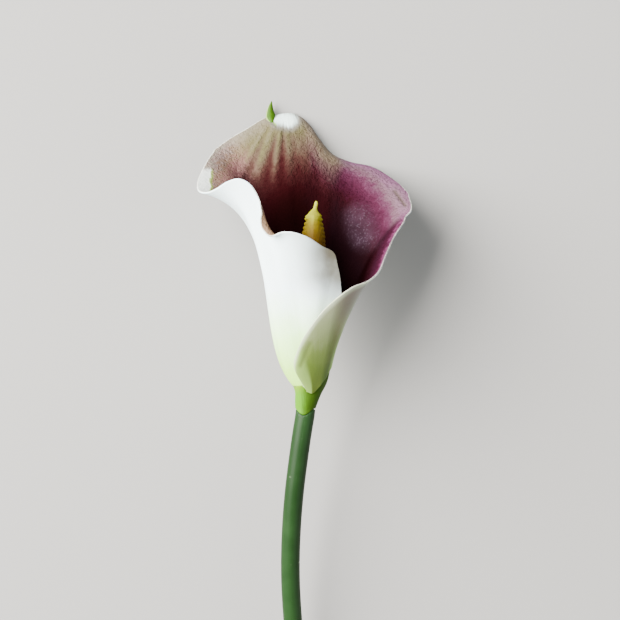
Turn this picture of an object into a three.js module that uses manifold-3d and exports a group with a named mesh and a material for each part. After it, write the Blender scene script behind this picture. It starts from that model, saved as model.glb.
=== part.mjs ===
// Calla lily: one cut flower, lying on its back on a flat surface.
//
// Millimetres and degrees. +X is the flower's right, +Y runs from the cut end of the stem to the
// tip of the spathe, and +Z is up, off the surface. Every shape is laid out from the neck, where
// the stem enters the foot of the spathe, and the finished flower is then placed so that it lies
// on z = 0 with the middle of its plan at the origin.
//
// The spathe is one leaf rolled into a funnel. Its sheet is swept round the funnel by its veins,
// one curve for each station along the rim, each from the foot line up to the rim. A turn says
// where a vein leaves the foot: 0 is the flower's right, 90 its back, 180 its left and 270 its
// front. The sheet starts at the free edge of the outer flap, at the front, goes round by the
// right, the back and the left, and ends with its inner edge tucked under the flap.
import * as THREE from "three";
import Module from "manifold-3d";

const wasm = await Module();
wasm.setup();

// Where the neck lies once the flower is laid down, and the surface it lies on, from the neck.
const NECK = new THREE.Vector3(0.2, 40.6, 36.3);
const TABLE_Z = -NECK.z;

// Sheet of the spathe.
const SHEET_AT_FOOT = 1.1;
const SHEET_AT_RIM = 0.7;
const ROWS = 16;
const ROW_CROWDING = 1.3;
const COLUMNS = 2;
// A vein leaves the foot with this tilt outwards in front, more of it on the left and less on the
// right, and runs straight for this far, or for this share of a short vein.
const VEIN_TILT = 28;
const VEIN_TILT_SIDE = 17;
const VEIN_SPRING = 20;
const SHORT_VEIN_SPRING = 0.3;
// The funnel's own axis, from which a vein leans away: its depth, and its drift to the right,
// which grows to full at one height and stops growing at another.
const FUNNEL_AXIS = { z: -4, drift: 3.2, driftHeight: 40, stopHeight: 64, driftPower: 1.5 };
// Steps in station and in share that a normal is measured over.
const NORMAL_STEP = 0.004;

// The rim, station by station: x, y, z, the vein's turn, its lean outwards where it meets the
// rim, and the share of its length that it runs straight up to the rim.
const RIM = [
  // Free edge of the outer flap, from its low tip up over the front.
  [-0.6, 6.4, 6.7, -98, 0, 0.30],
  [-2.2, 9.8, 8.3, -92, -4, 0.30],
  [-3.8, 13.5, 10.3, -86, 0, 0.30],
  [-3.2, 17.2, 12.3, -81, 8, 0.30],
  [-1.0, 22.4, 14.3, -77, 14, 0.30],
  [2.2, 27.5, 15.9, -72, 16, 0.30],
  [6.9, 33.5, 16.9, -64, 18, 0.30],
  [12.2, 38.2, 17.2, -53, 24, 0.28],
  [17.6, 41.8, 15.5, -42, 38, 0.24],
  [23.2, 43.9, 11.5, -30, 62, 0.18],
  // Right side, flared outwards, up to the right tip.
  [27.3, 47.3, 7.0, -18, 78, 0.16],
  [30.2, 53.9, 4.0, -7, 84, 0.14],
  [33.1, 60.2, 2.0, 2, 84, 0.13],
  [36.3, 65.1, 0.0, 9, 84, 0.15],
  [39.6, 70.2, -4.0, 16, 85, 0.18],
  [39.3, 74.6, -10.0, 23, 88, 0.21],
  [37.1, 79.2, -17.0, 31, 90, 0.24],
  // Back limb, from the right tip to the point of the spathe: its right lobe rests.
  [32.0, 83.9, -25.5, 40, 92, 0.27],
  [25.6, 88.0, -33.2, 50, 88, 0.27],
  [17.2, 90.1, -36.6, 60, 86, 0.29],
  [10.3, 93.1, -35.4, 70, 90, 0.25],
  [5.2, 98.9, -34.5, 79, 83, 0.20],
  [0.8, 105.0, -34.8, 88, 71, 0.20],
  [-4.3, 108.5, -35.3, 96, 63, 0.22],
  [-10.1, 108.4, -34.8, 104, 63, 0.22],
  [-15.4, 107.0, -34.4, 112, 64, 0.23],
  // Left shoulder, whose lobe rests too, down to the left tip.
  [-22.4, 103.0, -35.2, 122, 55, 0.26],
  [-29.3, 99.1, -36.6, 134, 52, 0.30],
  [-34.9, 94.2, -31.5, 147, 60, 0.34],
  [-38.1, 87.8, -20.0, 160, 74, 0.38],
  [-40.1, 81.5, -8.0, 171, 80, 0.41],
  [-39.5, 77.5, 0.5, 181, 80, 0.43],
  [-36.2, 76.5, 6.0, 190, 74, 0.43],
  // Front left lobe, and the lip rolled outwards at the front.
  [-32.5, 77.7, 10.4, 198, 61, 0.42],
  [-28.4, 80.1, 13.2, 207, 39, 0.39],
  [-24.0, 81.1, 15.0, 216, 26, 0.35],
  [-19.8, 78.9, 15.9, 225, 24, 0.28],
  [-17.0, 73.8, 16.0, 233, 29, 0.20],
  [-16.0, 69.2, 16.4, 241, 41, 0.16],
  [-14.2, 65.0, 17.4, 248, 56, 0.14],
  [-11.8, 62.2, 18.5, 255, 72, 0.13],
  [-8.5, 61.6, 19.7, 260, 60, 0.16],
  [-4.3, 61.4, 20.4, 265, 45, 0.19],
  [1.1, 59.7, 19.4, 270, 29, 0.21],
  [6.2, 56.6, 16.6, 275, 11, 0.23],
  // Inner edge, down behind the flap.
  [10.4, 54.4, 14.1, 280, 7, 0.31],
  [11.7, 50.4, 13.0, 284, 7, 0.33],
  [12.9, 44.3, 11.6, 288, 8, 0.32],
  [13.4, 36.5, 10.2, 294, 10, 0.25],
];

// Turn of the inner edge at the foot.
const LAST_TURN = 294;
// Foot line, as turn and height: low in front, high on the right and at the back.
const FOOT_LINE = [[-98, 3.4], [-78, 2.8], [-5, 12.2], [40, 12.6], [150, 9.5], [195, 5.3], [LAST_TURN, 5.2]];
// How far the sheet's middle stands out of the foot's skin, as turn and distance: the flap lies
// outside it, and the inner edge far enough inside it to pass under the flap.
const FOOT_LAYER = [[-98, 0.15], [-28, 0.05], [30, -0.5], [200, -0.5], [258, -1.3], [LAST_TURN, -1.5]];

// Pleats that fan out from the gathered point of the spathe.
const PLEATS = {
  x: -7,
  y: 104.4,
  perTurn: 22,
  height: 0.38,
  from: 3,
  fullFrom: 11,
  fullTo: 13,
  to: 27,
  fullHalfSpread: 45,
  halfSpread: 75,
};
const PLEATED_STATIONS = { from: 19, to: 27, columns: 5 };

// Horn: the hard green end of the spathe's midrib.
const HORN = {
  path: [[-12.4, 104.4, -33.4], [-13.2, 107.2, -33.6], [-13.4, 110.0, -33.4], [-12.9, 113.4, -32.8]],
  radii: [1.6, 1.9, 1.3, 0.2],
  sides: 10,
  rings: 8,
};

// Foot of the spathe, the green sleeve that clasps the stem: height, radius and middle of its skin.
const FOOT_SKIN = [
  [-3.4, 3.72, 0.1], [0, 4.4, 0.7], [2.8, 5.0, 1.3], [5.4, 6.1, 1.6], [8.2, 7.4, 1.3], [11.2, 8.5, 0.8],
  [13.6, 9.4, 0.6],
];
const FOOT = {
  columns: 36,
  bore: 3.0,
  floor: 7.5,
  floorRadius: 3.9,
  lipHeight: -3.2,
  tongue: 2.2,
  tongueTurn: 262,
  tongueHalfWidth: 75,
  lipRound: 0.5,
  waist: 0,
  swell: 2.8,
  seat: 0.8,
};
// Middle of the bore, and of the stem inside it: height and drift to the right.
const BORE_LINE = [[-6, 0], [8, 1]];

// Stem: its middle from inside the foot to the cut end, which lies on the surface.
const STEM = {
  path: [
    [0.95, 7.4, 0], [0.5, 1, 0], [0.07, -5, 0], [-0.9, -11.1, -0.7], [-2.0, -18.6, -1.7],
    [-3.9, -33.6, -4.2], [-5.1, -48.8, -7.8], [-5.5, -64.2, -12.0], [-4.9, -79.7, -16.4],
    [-3.0, -103, -22.8], [0.2, -131, -28.8], [4.0, -158, -32.2], [7.2, -178, -33.0], [9.8, -194, -33.0],
  ],
  radius: 3.6,
  radiusAtCut: 3.45,
  neckRadius: 2.65,
  shoulderGap: 0.3,
  shoulderRound: 0.35,
  neckLength: 14.5,
  cutSlant: 0.35,
  sides: 16,
  rings: 36,
};

// Spadix: its middle, and its radius by height, from the seat on the stem to the thin tip, which
// bends to the right. Its front comes to a ridge.
const SPADIX = {
  base: [1.0, 7.75, 0],
  tip: [3.6, 73.7, -3],
  tipBend: 0.6,
  profile: [
    [0, 3.3], [0.06, 3.5], [0.25, 4.25], [0.48, 4.8], [0.64, 4.85], [0.75, 4.5], [0.81, 4.15], [0.86, 3.5],
    [0.89, 2.95], [0.91, 3.0], [0.925, 2.5], [0.94, 1.6], [0.952, 0.95], [0.965, 0.7], [0.99, 0.65], [1, 0.3],
  ],
  sides: 24,
  rings: 46,
  tipRings: 8,
  shoulder: 0.925,
  floretHeight: 0.3,
  ridge: 0.6,
  ridgeHalfWidth: 50,
};

// Edges shorter than this are closed up where bodies are joined.
const JOIN_TOLERANCE = 0.01;

// Helpers: numbers, curves and closed meshes.

const radians = THREE.MathUtils.degToRad;
const lerp = THREE.MathUtils.lerp;
const smoothstep = THREE.MathUtils.smoothstep;

/** The rows' channels at station t, on a Catmull-Rom curve through every row. */
function along(rows, t) {
  const i = Math.min(Math.floor(t), rows.length - 2);
  const u = t - i;
  const [b, c] = [rows[i], rows[i + 1]];
  const a = rows[i - 1] ?? b.map((value, k) => 2 * value - c[k]);
  const d = rows[i + 2] ?? c.map((value, k) => 2 * value - b[k]);
  return b.map((value, k) => {
    const linear = c[k] - a[k];
    const square = 2 * a[k] - 5 * b[k] + 4 * c[k] - d[k];
    const cube = 3 * (b[k] - c[k]) + d[k] - a[k];
    return 0.5 * (2 * value + linear * u + square * u * u + cube * u * u * u);
  });
}

/** The value at x of a curve that eases from each [x, value] pair to the next. */
function eased(pairs, x) {
  const last = pairs.findIndex(([at]) => at > x);
  if (last === 0) return pairs[0][1];
  if (last < 0) return pairs[pairs.length - 1][1];
  const [from, to] = [pairs[last - 1], pairs[last]];
  return lerp(from[1], to[1], smoothstep(x, from[0], to[0]));
}

/** The channels at x of straight lines between rows whose first channel is x. */
function straight(rows, x) {
  const found = rows.findIndex(([at]) => at > x);
  const last = found < 0 ? rows.length - 1 : Math.max(found, 1);
  const [from, to] = [rows[last - 1], rows[last]];
  const u = THREE.MathUtils.clamp((x - from[0]) / (to[0] - from[0]), 0, 1);
  return from.map((value, k) => lerp(value, to[k], u));
}

/** The level direction that a turn round the funnel names. */
function outward(turn) {
  return new THREE.Vector3(Math.cos(radians(turn)), 0, -Math.sin(radians(turn)));
}

/** An indexed geometry from points and triangles of their numbers. */
function meshGeometry(points, triangles) {
  const geometry = new THREE.BufferGeometry();
  geometry.setFromPoints(points);
  geometry.setIndex(triangles.flat());
  geometry.computeVertexNormals();
  return geometry;
}

/** Two triangles for each cell of a grid whose rows close round, facing out along the rows' order. */
function wrappedCells(rowCount, columnCount, rowsClose) {
  const triangles = [];
  const cellRows = rowsClose ? rowCount : rowCount - 1;
  for (let row = 0; row < cellRows; row++) {
    const above = (row + 1) % rowCount;
    for (let column = 0; column < columnCount; column++) {
      const next = (column + 1) % columnCount;
      const [a, b] = [row * columnCount + column, row * columnCount + next];
      const [c, d] = [above * columnCount + next, above * columnCount + column];
      triangles.push([a, b, c], [a, c, d]);
    }
  }
  return triangles;
}

/** A closed body skinned over rings of points, with a fan over each end. */
function ringBody(rings) {
  const sides = rings[0].length;
  const triangles = wrappedCells(rings.length, sides, false);
  const points = rings.flat();
  const middle = (ring) => ring.reduce((sum, p) => sum.add(p), new THREE.Vector3()).divideScalar(sides);
  const [bottom, top] = [points.length, points.length + 1];
  points.push(middle(rings[0]), middle(rings[rings.length - 1]));
  const topRing = (rings.length - 1) * sides;
  for (let side = 0; side < sides; side++) {
    const next = (side + 1) % sides;
    triangles.push([bottom, next, side], [top, topRing + side, topRing + next]);
  }
  return meshGeometry(points, triangles);
}

/** A ring of points round a place on a path: flat sides face up and down, and radius may vary. */
function ringAt(centre, tangent, sides, radiusAt) {
  const across = new THREE.Vector3().crossVectors(tangent, new THREE.Vector3(0, 0, 1)).normalize();
  const up = new THREE.Vector3().crossVectors(across, tangent);
  return Array.from({ length: sides }, (_, side) => {
    const angle = ((side + 0.5) / sides) * 2 * Math.PI;
    const radius = radiusAt(angle, side);
    return centre.clone()
      .addScaledVector(up, -radius * Math.cos(angle))
      .addScaledVector(across, -radius * Math.sin(angle));
  });
}

/** A geometry as a solid that can be joined. */
function solidOf(geometry) {
  const vertProperties = new Float32Array(geometry.attributes.position.array);
  const triVerts = new Uint32Array(geometry.index.array);
  return new wasm.Manifold(new wasm.Mesh({ numProp: 3, vertProperties, triVerts }));
}

/** Closed geometries joined into one. */
function joined(geometries) {
  const solid = geometries.map(solidOf).reduce((whole, piece) => whole.add(piece)).simplify(JOIN_TOLERANCE);
  const { vertProperties, triVerts } = solid.getMesh();
  const geometry = new THREE.BufferGeometry();
  geometry.setAttribute("position", new THREE.BufferAttribute(vertProperties, 3));
  geometry.setIndex(new THREE.BufferAttribute(triVerts, 1));
  geometry.computeVertexNormals();
  return geometry;
}

// Spathe.

/** The point where the vein with this turn leaves the foot. */
function footPoint(turn) {
  const height = eased(FOOT_LINE, turn);
  const [, radius, middle] = straight(FOOT_SKIN, height);
  const out = radius + eased(FOOT_LAYER, turn);
  return outward(turn).multiplyScalar(out).add(new THREE.Vector3(middle, height, 0));
}

/** How far a vein tilts outwards at the foot: the extra on the left wanes quickly towards the front. */
function veinTilt(turn) {
  const right = Math.cos(radians(turn));
  return radians(VEIN_TILT - VEIN_TILT_SIDE * (right > 0 ? right : right ** 3));
}

/** A point of the sheet's middle before pleating, at a rim station and a share of its vein. */
function smoothSheet(station, share) {
  const [x, y, z, turn, lean, reach] = along(RIM, station);
  const rim = new THREE.Vector3(x, y, z);
  const foot = footPoint(turn);
  const length = rim.distanceTo(foot);
  const spring = Math.min(VEIN_SPRING, length * SHORT_VEIN_SPRING);
  const tilt = veinTilt(turn);
  const start = outward(turn).multiplyScalar(Math.sin(tilt)).setY(Math.cos(tilt));
  const away = new THREE.Vector3(x - axisX(y), 0, z - FUNNEL_AXIS.z).normalize();
  const end = away.multiplyScalar(Math.sin(radians(lean))).setY(Math.cos(radians(lean)));
  const vein = new THREE.CubicBezierCurve3(
    foot,
    foot.clone().addScaledVector(start, spring),
    rim.clone().addScaledVector(end, -length * reach),
    rim,
  );
  return vein.getPoint(share);
}

/** The funnel's own axis drifts to the right as it rises. */
function axisX(y) {
  const height = THREE.MathUtils.clamp(y, 0, FUNNEL_AXIS.stopHeight);
  return FUNNEL_AXIS.drift * (height / FUNNEL_AXIS.driftHeight) ** FUNNEL_AXIS.driftPower;
}

/** How far the pleats lift the sheet at a point. */
function pleatLift(point) {
  const [dx, dy] = [point.x - PLEATS.x, PLEATS.y - point.y];
  const distance = Math.hypot(dx, dy);
  const angle = Math.atan2(dx, dy);
  const rise = smoothstep(distance, PLEATS.from, PLEATS.fullFrom);
  const fall = 1 - smoothstep(distance, PLEATS.fullTo, PLEATS.to);
  const inFan = 1 - smoothstep(Math.abs(angle), radians(PLEATS.fullHalfSpread), radians(PLEATS.halfSpread));
  return PLEATS.height * rise * fall * inFan * Math.sin(PLEATS.perTurn * angle);
}

/** The rim stations that have a column of points, closer together where the sheet is pleated. */
function sheetStations() {
  const stations = [];
  for (let station = 0; station < RIM.length - 1; station++) {
    const pleated = station >= PLEATED_STATIONS.from && station < PLEATED_STATIONS.to;
    const columns = pleated ? PLEATED_STATIONS.columns : COLUMNS;
    for (let column = 0; column < columns; column++) stations.push(station + column / columns);
  }
  return [...stations, RIM.length - 1];
}

/** The outer and the inner point of the sheet at a station and a share of the vein. */
function sheetPoints(station, share) {
  const before = Math.max(station - NORMAL_STEP, 0);
  const after = Math.min(station + NORMAL_STEP, RIM.length - 1);
  const [below, above] = [Math.max(share - NORMAL_STEP, 0), Math.min(share + NORMAL_STEP, 1)];
  const round = smoothSheet(after, share).sub(smoothSheet(before, share));
  const rise = smoothSheet(station, above).sub(smoothSheet(station, below));
  const normal = round.cross(rise).normalize();
  const middle = smoothSheet(station, share);
  middle.addScaledVector(normal, -pleatLift(middle));
  const half = lerp(SHEET_AT_FOOT, SHEET_AT_RIM, share) / 2;
  const outer = middle.clone().addScaledVector(normal, half);
  const inner = middle.clone().addScaledVector(normal, -half);
  outer.z = Math.max(outer.z, TABLE_Z);
  inner.z = Math.max(inner.z, TABLE_Z);
  return [outer, inner];
}

/** The rolled sheet as a closed body: both faces are split into triangles alike. */
function sheetGeometry() {
  const stations = sheetStations();
  const shares = Array.from({ length: ROWS + 1 }, (_, row) => 1 - (1 - row / ROWS) ** ROW_CROWDING);
  const columns = stations.length;
  const [outer, inner] = [[], []];
  for (const share of shares) {
    for (const station of stations) {
      const [outerPoint, innerPoint] = sheetPoints(station, share);
      outer.push(outerPoint);
      inner.push(innerPoint);
    }
  }
  const innerFirst = outer.length;
  const triangles = [];
  for (let row = 0; row < ROWS; row++) {
    for (let column = 0; column < columns - 1; column++) {
      const a = row * columns + column;
      const [b, c, d] = [a + 1, a + columns + 1, a + columns];
      triangles.push([a, b, c], [a, c, d]);
      triangles.push([b, a, c].map((i) => i + innerFirst), [c, a, d].map((i) => i + innerFirst));
    }
  }
  // The edge all round, from the outer face to the inner one.
  const edge = (a, b) => triangles.push([b, a, a + innerFirst], [b, a + innerFirst, b + innerFirst]);
  const lastRow = ROWS * columns;
  for (let column = 0; column < columns - 1; column++) {
    edge(column, column + 1);
    edge(lastRow + column + 1, lastRow + column);
  }
  for (let row = 0; row < ROWS; row++) {
    const first = row * columns;
    edge(first + columns, first);
    edge(first + columns - 1, first + 2 * columns - 1);
  }
  return meshGeometry([...outer, ...inner], triangles);
}

/** The height of the foot's lower lip, which hangs in a tongue over the front of the stem. */
function lipHeight(turn) {
  const away = Math.abs(turn - FOOT.tongueTurn) / FOOT.tongueHalfWidth;
  return FOOT.lipHeight - FOOT.tongue * (1 - smoothstep(away, 0, 1));
}

/** The foot: a tapered sleeve with a bore for the stem. */
function footGeometry() {
  const rows = [];
  for (let column = 0; column < FOOT.columns; column++) {
    const turn = (column / FOOT.columns) * 360;
    const line = eased(FOOT_LINE, turn <= LAST_TURN ? turn : turn - 360);
    const layer = eased(FOOT_LAYER, turn <= LAST_TURN ? turn : turn - 360);
    const lip = lipHeight(turn);
    const skin = (height, offset) => {
      const [, radius, middle] = straight(FOOT_SKIN, height);
      return outward(turn).multiplyScalar(radius + offset).add(new THREE.Vector3(middle, height, 0));
    };
    const bore = (height, radius) => {
      const [, middle] = straight(BORE_LINE, height);
      return outward(turn).multiplyScalar(radius).add(new THREE.Vector3(middle, height, 0));
    };
    rows.push([
      bore(lip + FOOT.lipRound, FOOT.bore),
      skin(lip, -FOOT.lipRound),
      skin(lip + FOOT.lipRound, 0),
      skin(FOOT.waist, 0),
      skin(FOOT.swell, 0),
      skin(line, 0),
      skin(line + FOOT.seat, layer),
      bore(FOOT.floor, FOOT.floorRadius),
      bore(FOOT.floor, FOOT.bore),
    ]);
  }
  // The rows run round the sleeve, and each row is one closed outline of its wall.
  return meshGeometry(rows.reverse().flat(), wrappedCells(rows.length, rows[0].length, true));
}

/** The horn: a curved taper sunk into the point of the spathe. */
function hornGeometry() {
  const path = new THREE.CatmullRomCurve3(HORN.path.map((p) => new THREE.Vector3(...p)));
  const rings = [];
  for (let ring = 0; ring <= HORN.rings; ring++) {
    const u = ring / HORN.rings;
    const [radius] = along(HORN.radii.map((r) => [r]), u * (HORN.radii.length - 1));
    rings.push(ringAt(path.getPoint(u), path.getTangent(u), HORN.sides, () => radius));
  }
  return ringBody(rings);
}

// Stem.

/** The stem: slimmer where it sits in the foot, cut on a slant, and flat where it rests. */
function stemGeometry() {
  const path = new THREE.CatmullRomCurve3(STEM.path.map((p) => new THREE.Vector3(...p)));
  const length = path.getLength();
  const tangentAt = (u) => path.getTangentAt(u).negate();
  const ring = (u, radius) => ringAt(path.getPointAt(u), tangentAt(u), STEM.sides, () => radius);
  // The shoulder follows the foot's lip, a small gap below it.
  const shoulder = (radius, drop) => ring(STEM.neckLength / length, radius).map((point) => {
    const turn = THREE.MathUtils.radToDeg(Math.atan2(-point.z, point.x));
    const lip = lipHeight(THREE.MathUtils.euclideanModulo(turn, 360));
    const [, middle] = straight(BORE_LINE, lip);
    const flat = outward(turn).multiplyScalar(radius);
    return flat.add(new THREE.Vector3(middle, lip - STEM.shoulderGap - drop, 0));
  });
  const rings = [ring(0, STEM.neckRadius), shoulder(STEM.neckRadius, 0)];
  rings.push(shoulder(STEM.radius - STEM.shoulderRound, 0), shoulder(STEM.radius, STEM.shoulderRound));
  for (let step = 0; step <= STEM.rings; step++) {
    const share = step / STEM.rings;
    rings.push(ring(lerp(STEM.neckLength / length, 1, share), lerp(STEM.radius, STEM.radiusAtCut, share)));
  }
  const cut = rings[rings.length - 1];
  const middle = path.getPointAt(1).x;
  cut.forEach((point) => point.setY(point.y - STEM.cutSlant * (point.x - middle)));
  rings.flat().forEach((point) => point.setZ(Math.max(point.z, TABLE_Z)));
  return ringBody(rings.reverse());
}

// Spadix.

/** The spadix: staggered floret bumps all round, a ridge in front, and a bare thin tip. */
function spadixGeometry() {
  const [base, tip] = [new THREE.Vector3(...SPADIX.base), new THREE.Vector3(...SPADIX.tip)];
  const axis = tip.clone().sub(base);
  const tangent = axis.clone().normalize();
  const rings = [];
  for (let ring = 0; ring <= SPADIX.rings + SPADIX.tipRings; ring++) {
    const onTip = ring - SPADIX.rings;
    const u = onTip <= 0
      ? (ring / SPADIX.rings) * SPADIX.shoulder
      : lerp(SPADIX.shoulder, 1, onTip / SPADIX.tipRings);
    const [, radius] = straight(SPADIX.profile, u);
    const inFlorets = ring > 0 && onTip < 0;
    const middle = base.clone().addScaledVector(axis, u);
    middle.x += SPADIX.tipBend * smoothstep(u, SPADIX.shoulder, 1);
    rings.push(ringAt(middle, tangent, SPADIX.sides, (angle, side) => {
      const bump = (ring + side) % 2 === 0 ? SPADIX.floretHeight : -SPADIX.floretHeight;
      const fromFront = Math.abs(THREE.MathUtils.radToDeg(angle) - 180);
      const ridge = SPADIX.ridge * Math.max(1 - fromFront / SPADIX.ridgeHalfWidth, 0);
      return radius + (inFlorets ? bump + ridge : 0);
    }));
  }
  return ringBody(rings);
}

// The flower.

/** A named mesh with its own material. */
function piece(name, geometry, color, roughness) {
  const mesh = new THREE.Mesh(geometry, new THREE.MeshStandardMaterial({ color, roughness, metalness: 0 }));
  mesh.name = name;
  return mesh;
}

const flower = new THREE.Group();
flower.position.copy(NECK);
flower.add(
  piece("stem", stemGeometry(), 0x4f7a55, 0.45),
  piece("spathe", joined([sheetGeometry(), footGeometry(), hornGeometry()]), 0xf1f4ee, 0.5),
  piece("spadix", spadixGeometry(), 0xd8c341, 0.7),
);

const calla = new THREE.Group();
calla.add(flower);
export default calla;
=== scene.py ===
"""A cut calla lily, lying on its back on a pale floor in soft studio light.

The spathe is one leaf rolled into a funnel, white outside and dark purple inside, with a green foot
that clasps the stem and a green horn at its point. It stands round a yellow spadix.

Shapes are laid out in millimetres from the neck, where the stem enters the foot of the spathe: +X
is the flower's right, +Y runs from the cut end of the stem to the tip of the spathe, and +Z is up,
out of the front of the flower. A turn names a direction round the funnel, in degrees: 0 is the
flower's right, 90 its back, 180 its left and 270 its front.
"""

from __future__ import annotations

import logging
from dataclasses import dataclass, field
from enum import Enum
from typing import Mapping, Optional, Sequence, Union

import bpy
import numpy as np
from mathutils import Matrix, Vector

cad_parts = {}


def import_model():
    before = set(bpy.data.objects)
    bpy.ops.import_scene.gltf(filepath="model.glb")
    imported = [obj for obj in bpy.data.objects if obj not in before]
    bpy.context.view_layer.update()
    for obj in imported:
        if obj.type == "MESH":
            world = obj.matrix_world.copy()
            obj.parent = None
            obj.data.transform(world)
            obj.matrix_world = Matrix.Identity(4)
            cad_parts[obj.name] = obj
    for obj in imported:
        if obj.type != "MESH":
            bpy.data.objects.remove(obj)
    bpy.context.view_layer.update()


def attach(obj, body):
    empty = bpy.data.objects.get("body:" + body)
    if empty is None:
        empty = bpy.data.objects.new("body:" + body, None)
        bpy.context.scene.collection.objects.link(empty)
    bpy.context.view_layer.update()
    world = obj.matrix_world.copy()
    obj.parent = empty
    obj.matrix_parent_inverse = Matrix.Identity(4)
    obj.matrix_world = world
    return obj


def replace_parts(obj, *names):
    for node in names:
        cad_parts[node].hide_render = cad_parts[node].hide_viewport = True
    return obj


LOG = logging.getLogger("calla_lily")

Array = np.ndarray
Colour = tuple[float, float, float]
Segment = tuple[tuple[float, float], tuple[float, float]]
Stops = tuple[tuple[float, Colour], ...]

# Metres in a millimetre.
MM = 0.001
# Where the neck lies once the flower is laid down, and the surface it lies on, from the neck.
NECK = np.array([0.2, 40.6, 36.3])
TABLE_Z = -NECK[2]

# The rim of the spathe, station by station: x, y, z, the vein's turn, its lean outwards where it
# meets the rim, and the share of its length that it runs straight up to the rim.
RIM = np.array([
    # Free edge of the outer flap, from its low tip up over the front.
    (-0.6, 6.4, 6.7, -98, 0, 0.30),
    (-2.2, 9.8, 8.3, -92, -4, 0.30),
    (-3.8, 13.5, 10.3, -86, 0, 0.30),
    (-3.2, 17.2, 12.3, -81, 8, 0.30),
    (-1.0, 22.4, 14.3, -77, 14, 0.30),
    (2.2, 27.5, 15.9, -72, 16, 0.30),
    (6.9, 33.5, 16.9, -64, 18, 0.30),
    (12.2, 38.2, 17.2, -53, 24, 0.28),
    (17.6, 41.8, 15.5, -42, 38, 0.24),
    (23.2, 43.9, 11.5, -30, 62, 0.18),
    # Right side, flared outwards, up to the right tip.
    (27.3, 47.3, 7.0, -18, 78, 0.16),
    (30.2, 53.9, 4.0, -7, 84, 0.14),
    (33.1, 60.2, 2.0, 2, 84, 0.13),
    (36.3, 65.1, 0.0, 9, 84, 0.15),
    (39.6, 70.2, -4.0, 16, 85, 0.18),
    (39.3, 74.6, -10.0, 23, 88, 0.21),
    (37.1, 79.2, -17.0, 31, 90, 0.24),
    # Back limb, from the right tip to the point of the spathe: its right lobe rests.
    (32.0, 83.9, -25.5, 40, 92, 0.27),
    (25.6, 88.0, -33.2, 50, 88, 0.27),
    (17.2, 90.1, -36.6, 60, 86, 0.29),
    (10.3, 93.1, -35.4, 70, 90, 0.25),
    (5.2, 98.9, -34.5, 79, 83, 0.20),
    (0.8, 105.0, -34.8, 88, 71, 0.20),
    (-4.3, 108.5, -35.3, 96, 63, 0.22),
    (-10.1, 108.4, -34.8, 104, 63, 0.22),
    (-15.4, 107.0, -34.4, 112, 64, 0.23),
    # Left shoulder, whose lobe rests too, down to the left tip.
    (-22.4, 103.0, -35.2, 122, 55, 0.26),
    (-29.3, 99.1, -36.6, 134, 52, 0.30),
    (-34.9, 94.2, -31.5, 147, 60, 0.34),
    (-38.1, 87.8, -20.0, 160, 74, 0.38),
    (-40.1, 81.5, -8.0, 171, 80, 0.41),
    (-39.5, 77.5, 0.5, 181, 80, 0.43),
    (-36.2, 76.5, 6.0, 190, 74, 0.43),
    # Front left lobe, and the lip rolled outwards at the front.
    (-32.5, 77.7, 10.4, 198, 61, 0.42),
    (-28.4, 80.1, 13.2, 207, 39, 0.39),
    (-24.0, 81.1, 15.0, 216, 26, 0.35),
    (-19.8, 78.9, 15.9, 225, 24, 0.28),
    (-17.0, 73.8, 16.0, 233, 29, 0.20),
    (-16.0, 69.2, 16.4, 241, 41, 0.16),
    (-14.2, 65.0, 17.4, 248, 56, 0.14),
    (-11.8, 62.2, 18.5, 255, 72, 0.13),
    (-8.5, 61.6, 19.7, 260, 60, 0.16),
    (-4.3, 61.4, 20.4, 265, 45, 0.19),
    (1.1, 59.7, 19.4, 270, 29, 0.21),
    (6.2, 56.6, 16.6, 275, 11, 0.23),
    # Inner edge, down behind the flap.
    (10.4, 54.4, 14.1, 280, 7, 0.31),
    (11.7, 50.4, 13.0, 284, 7, 0.33),
    (12.9, 44.3, 11.6, 288, 8, 0.32),
    (13.4, 36.5, 10.2, 294, 10, 0.25),
])


# Numbers and curves.


def smooth(value: Array, low: float, high: float) -> Array:
    """A smooth step from 0 at low to 1 at high, or from 1 to 0 where high is the lower."""
    share = np.clip((value - low) / (high - low), 0.0, 1.0)
    return share * share * (3 - 2 * share)


def window(value: Array, ends: Sequence[float]) -> Array:
    """A mask that rises between the first two ends and falls between the last two."""
    first, full, fades, last = ends
    return smooth(value, first, full) * smooth(value, last, fades)


def along(rows: Array, places: Array) -> Array:
    """The rows' channels on a Catmull-Rom curve through every row.

    Args:
        rows: one row of channels for each whole place.
        places: where on the curve, as row numbers with fractions.

    Returns:
        The channels, in the last axis, for each place.
    """
    first = np.clip(np.floor(places).astype(int), 0, len(rows) - 2)
    u = (places - first)[..., None]
    padded = np.vstack([2 * rows[0] - rows[1], rows, 2 * rows[-1] - rows[-2]])
    a, b, c, d = (padded[first + k] for k in range(4))
    square = 2 * a - 5 * b + 4 * c - d
    cube = 3 * (b - c) + d - a
    return 0.5 * (2 * b + (c - a) * u + square * u**2 + cube * u**3)


def eased(pairs: Array, places: Array) -> Array:
    """The values of a curve that eases from each (place, value) pair to the next."""
    last = np.clip(np.searchsorted(pairs[:, 0], places, side="right"), 1, len(pairs) - 1)
    before, after = pairs[last - 1], pairs[last]
    share = smooth(places, before[..., 0], after[..., 0])
    return before[..., 1] + (after[..., 1] - before[..., 1]) * share


def outward(turn: Array) -> Array:
    """The level direction that a turn round the funnel names."""
    angle = np.radians(turn)
    return np.stack([np.cos(angle), np.zeros_like(angle), -np.sin(angle)], axis=-1)


def unit(vectors: Array) -> Array:
    """The vectors at a length of one."""
    return vectors / np.linalg.norm(vectors, axis=-1, keepdims=True)


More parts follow.
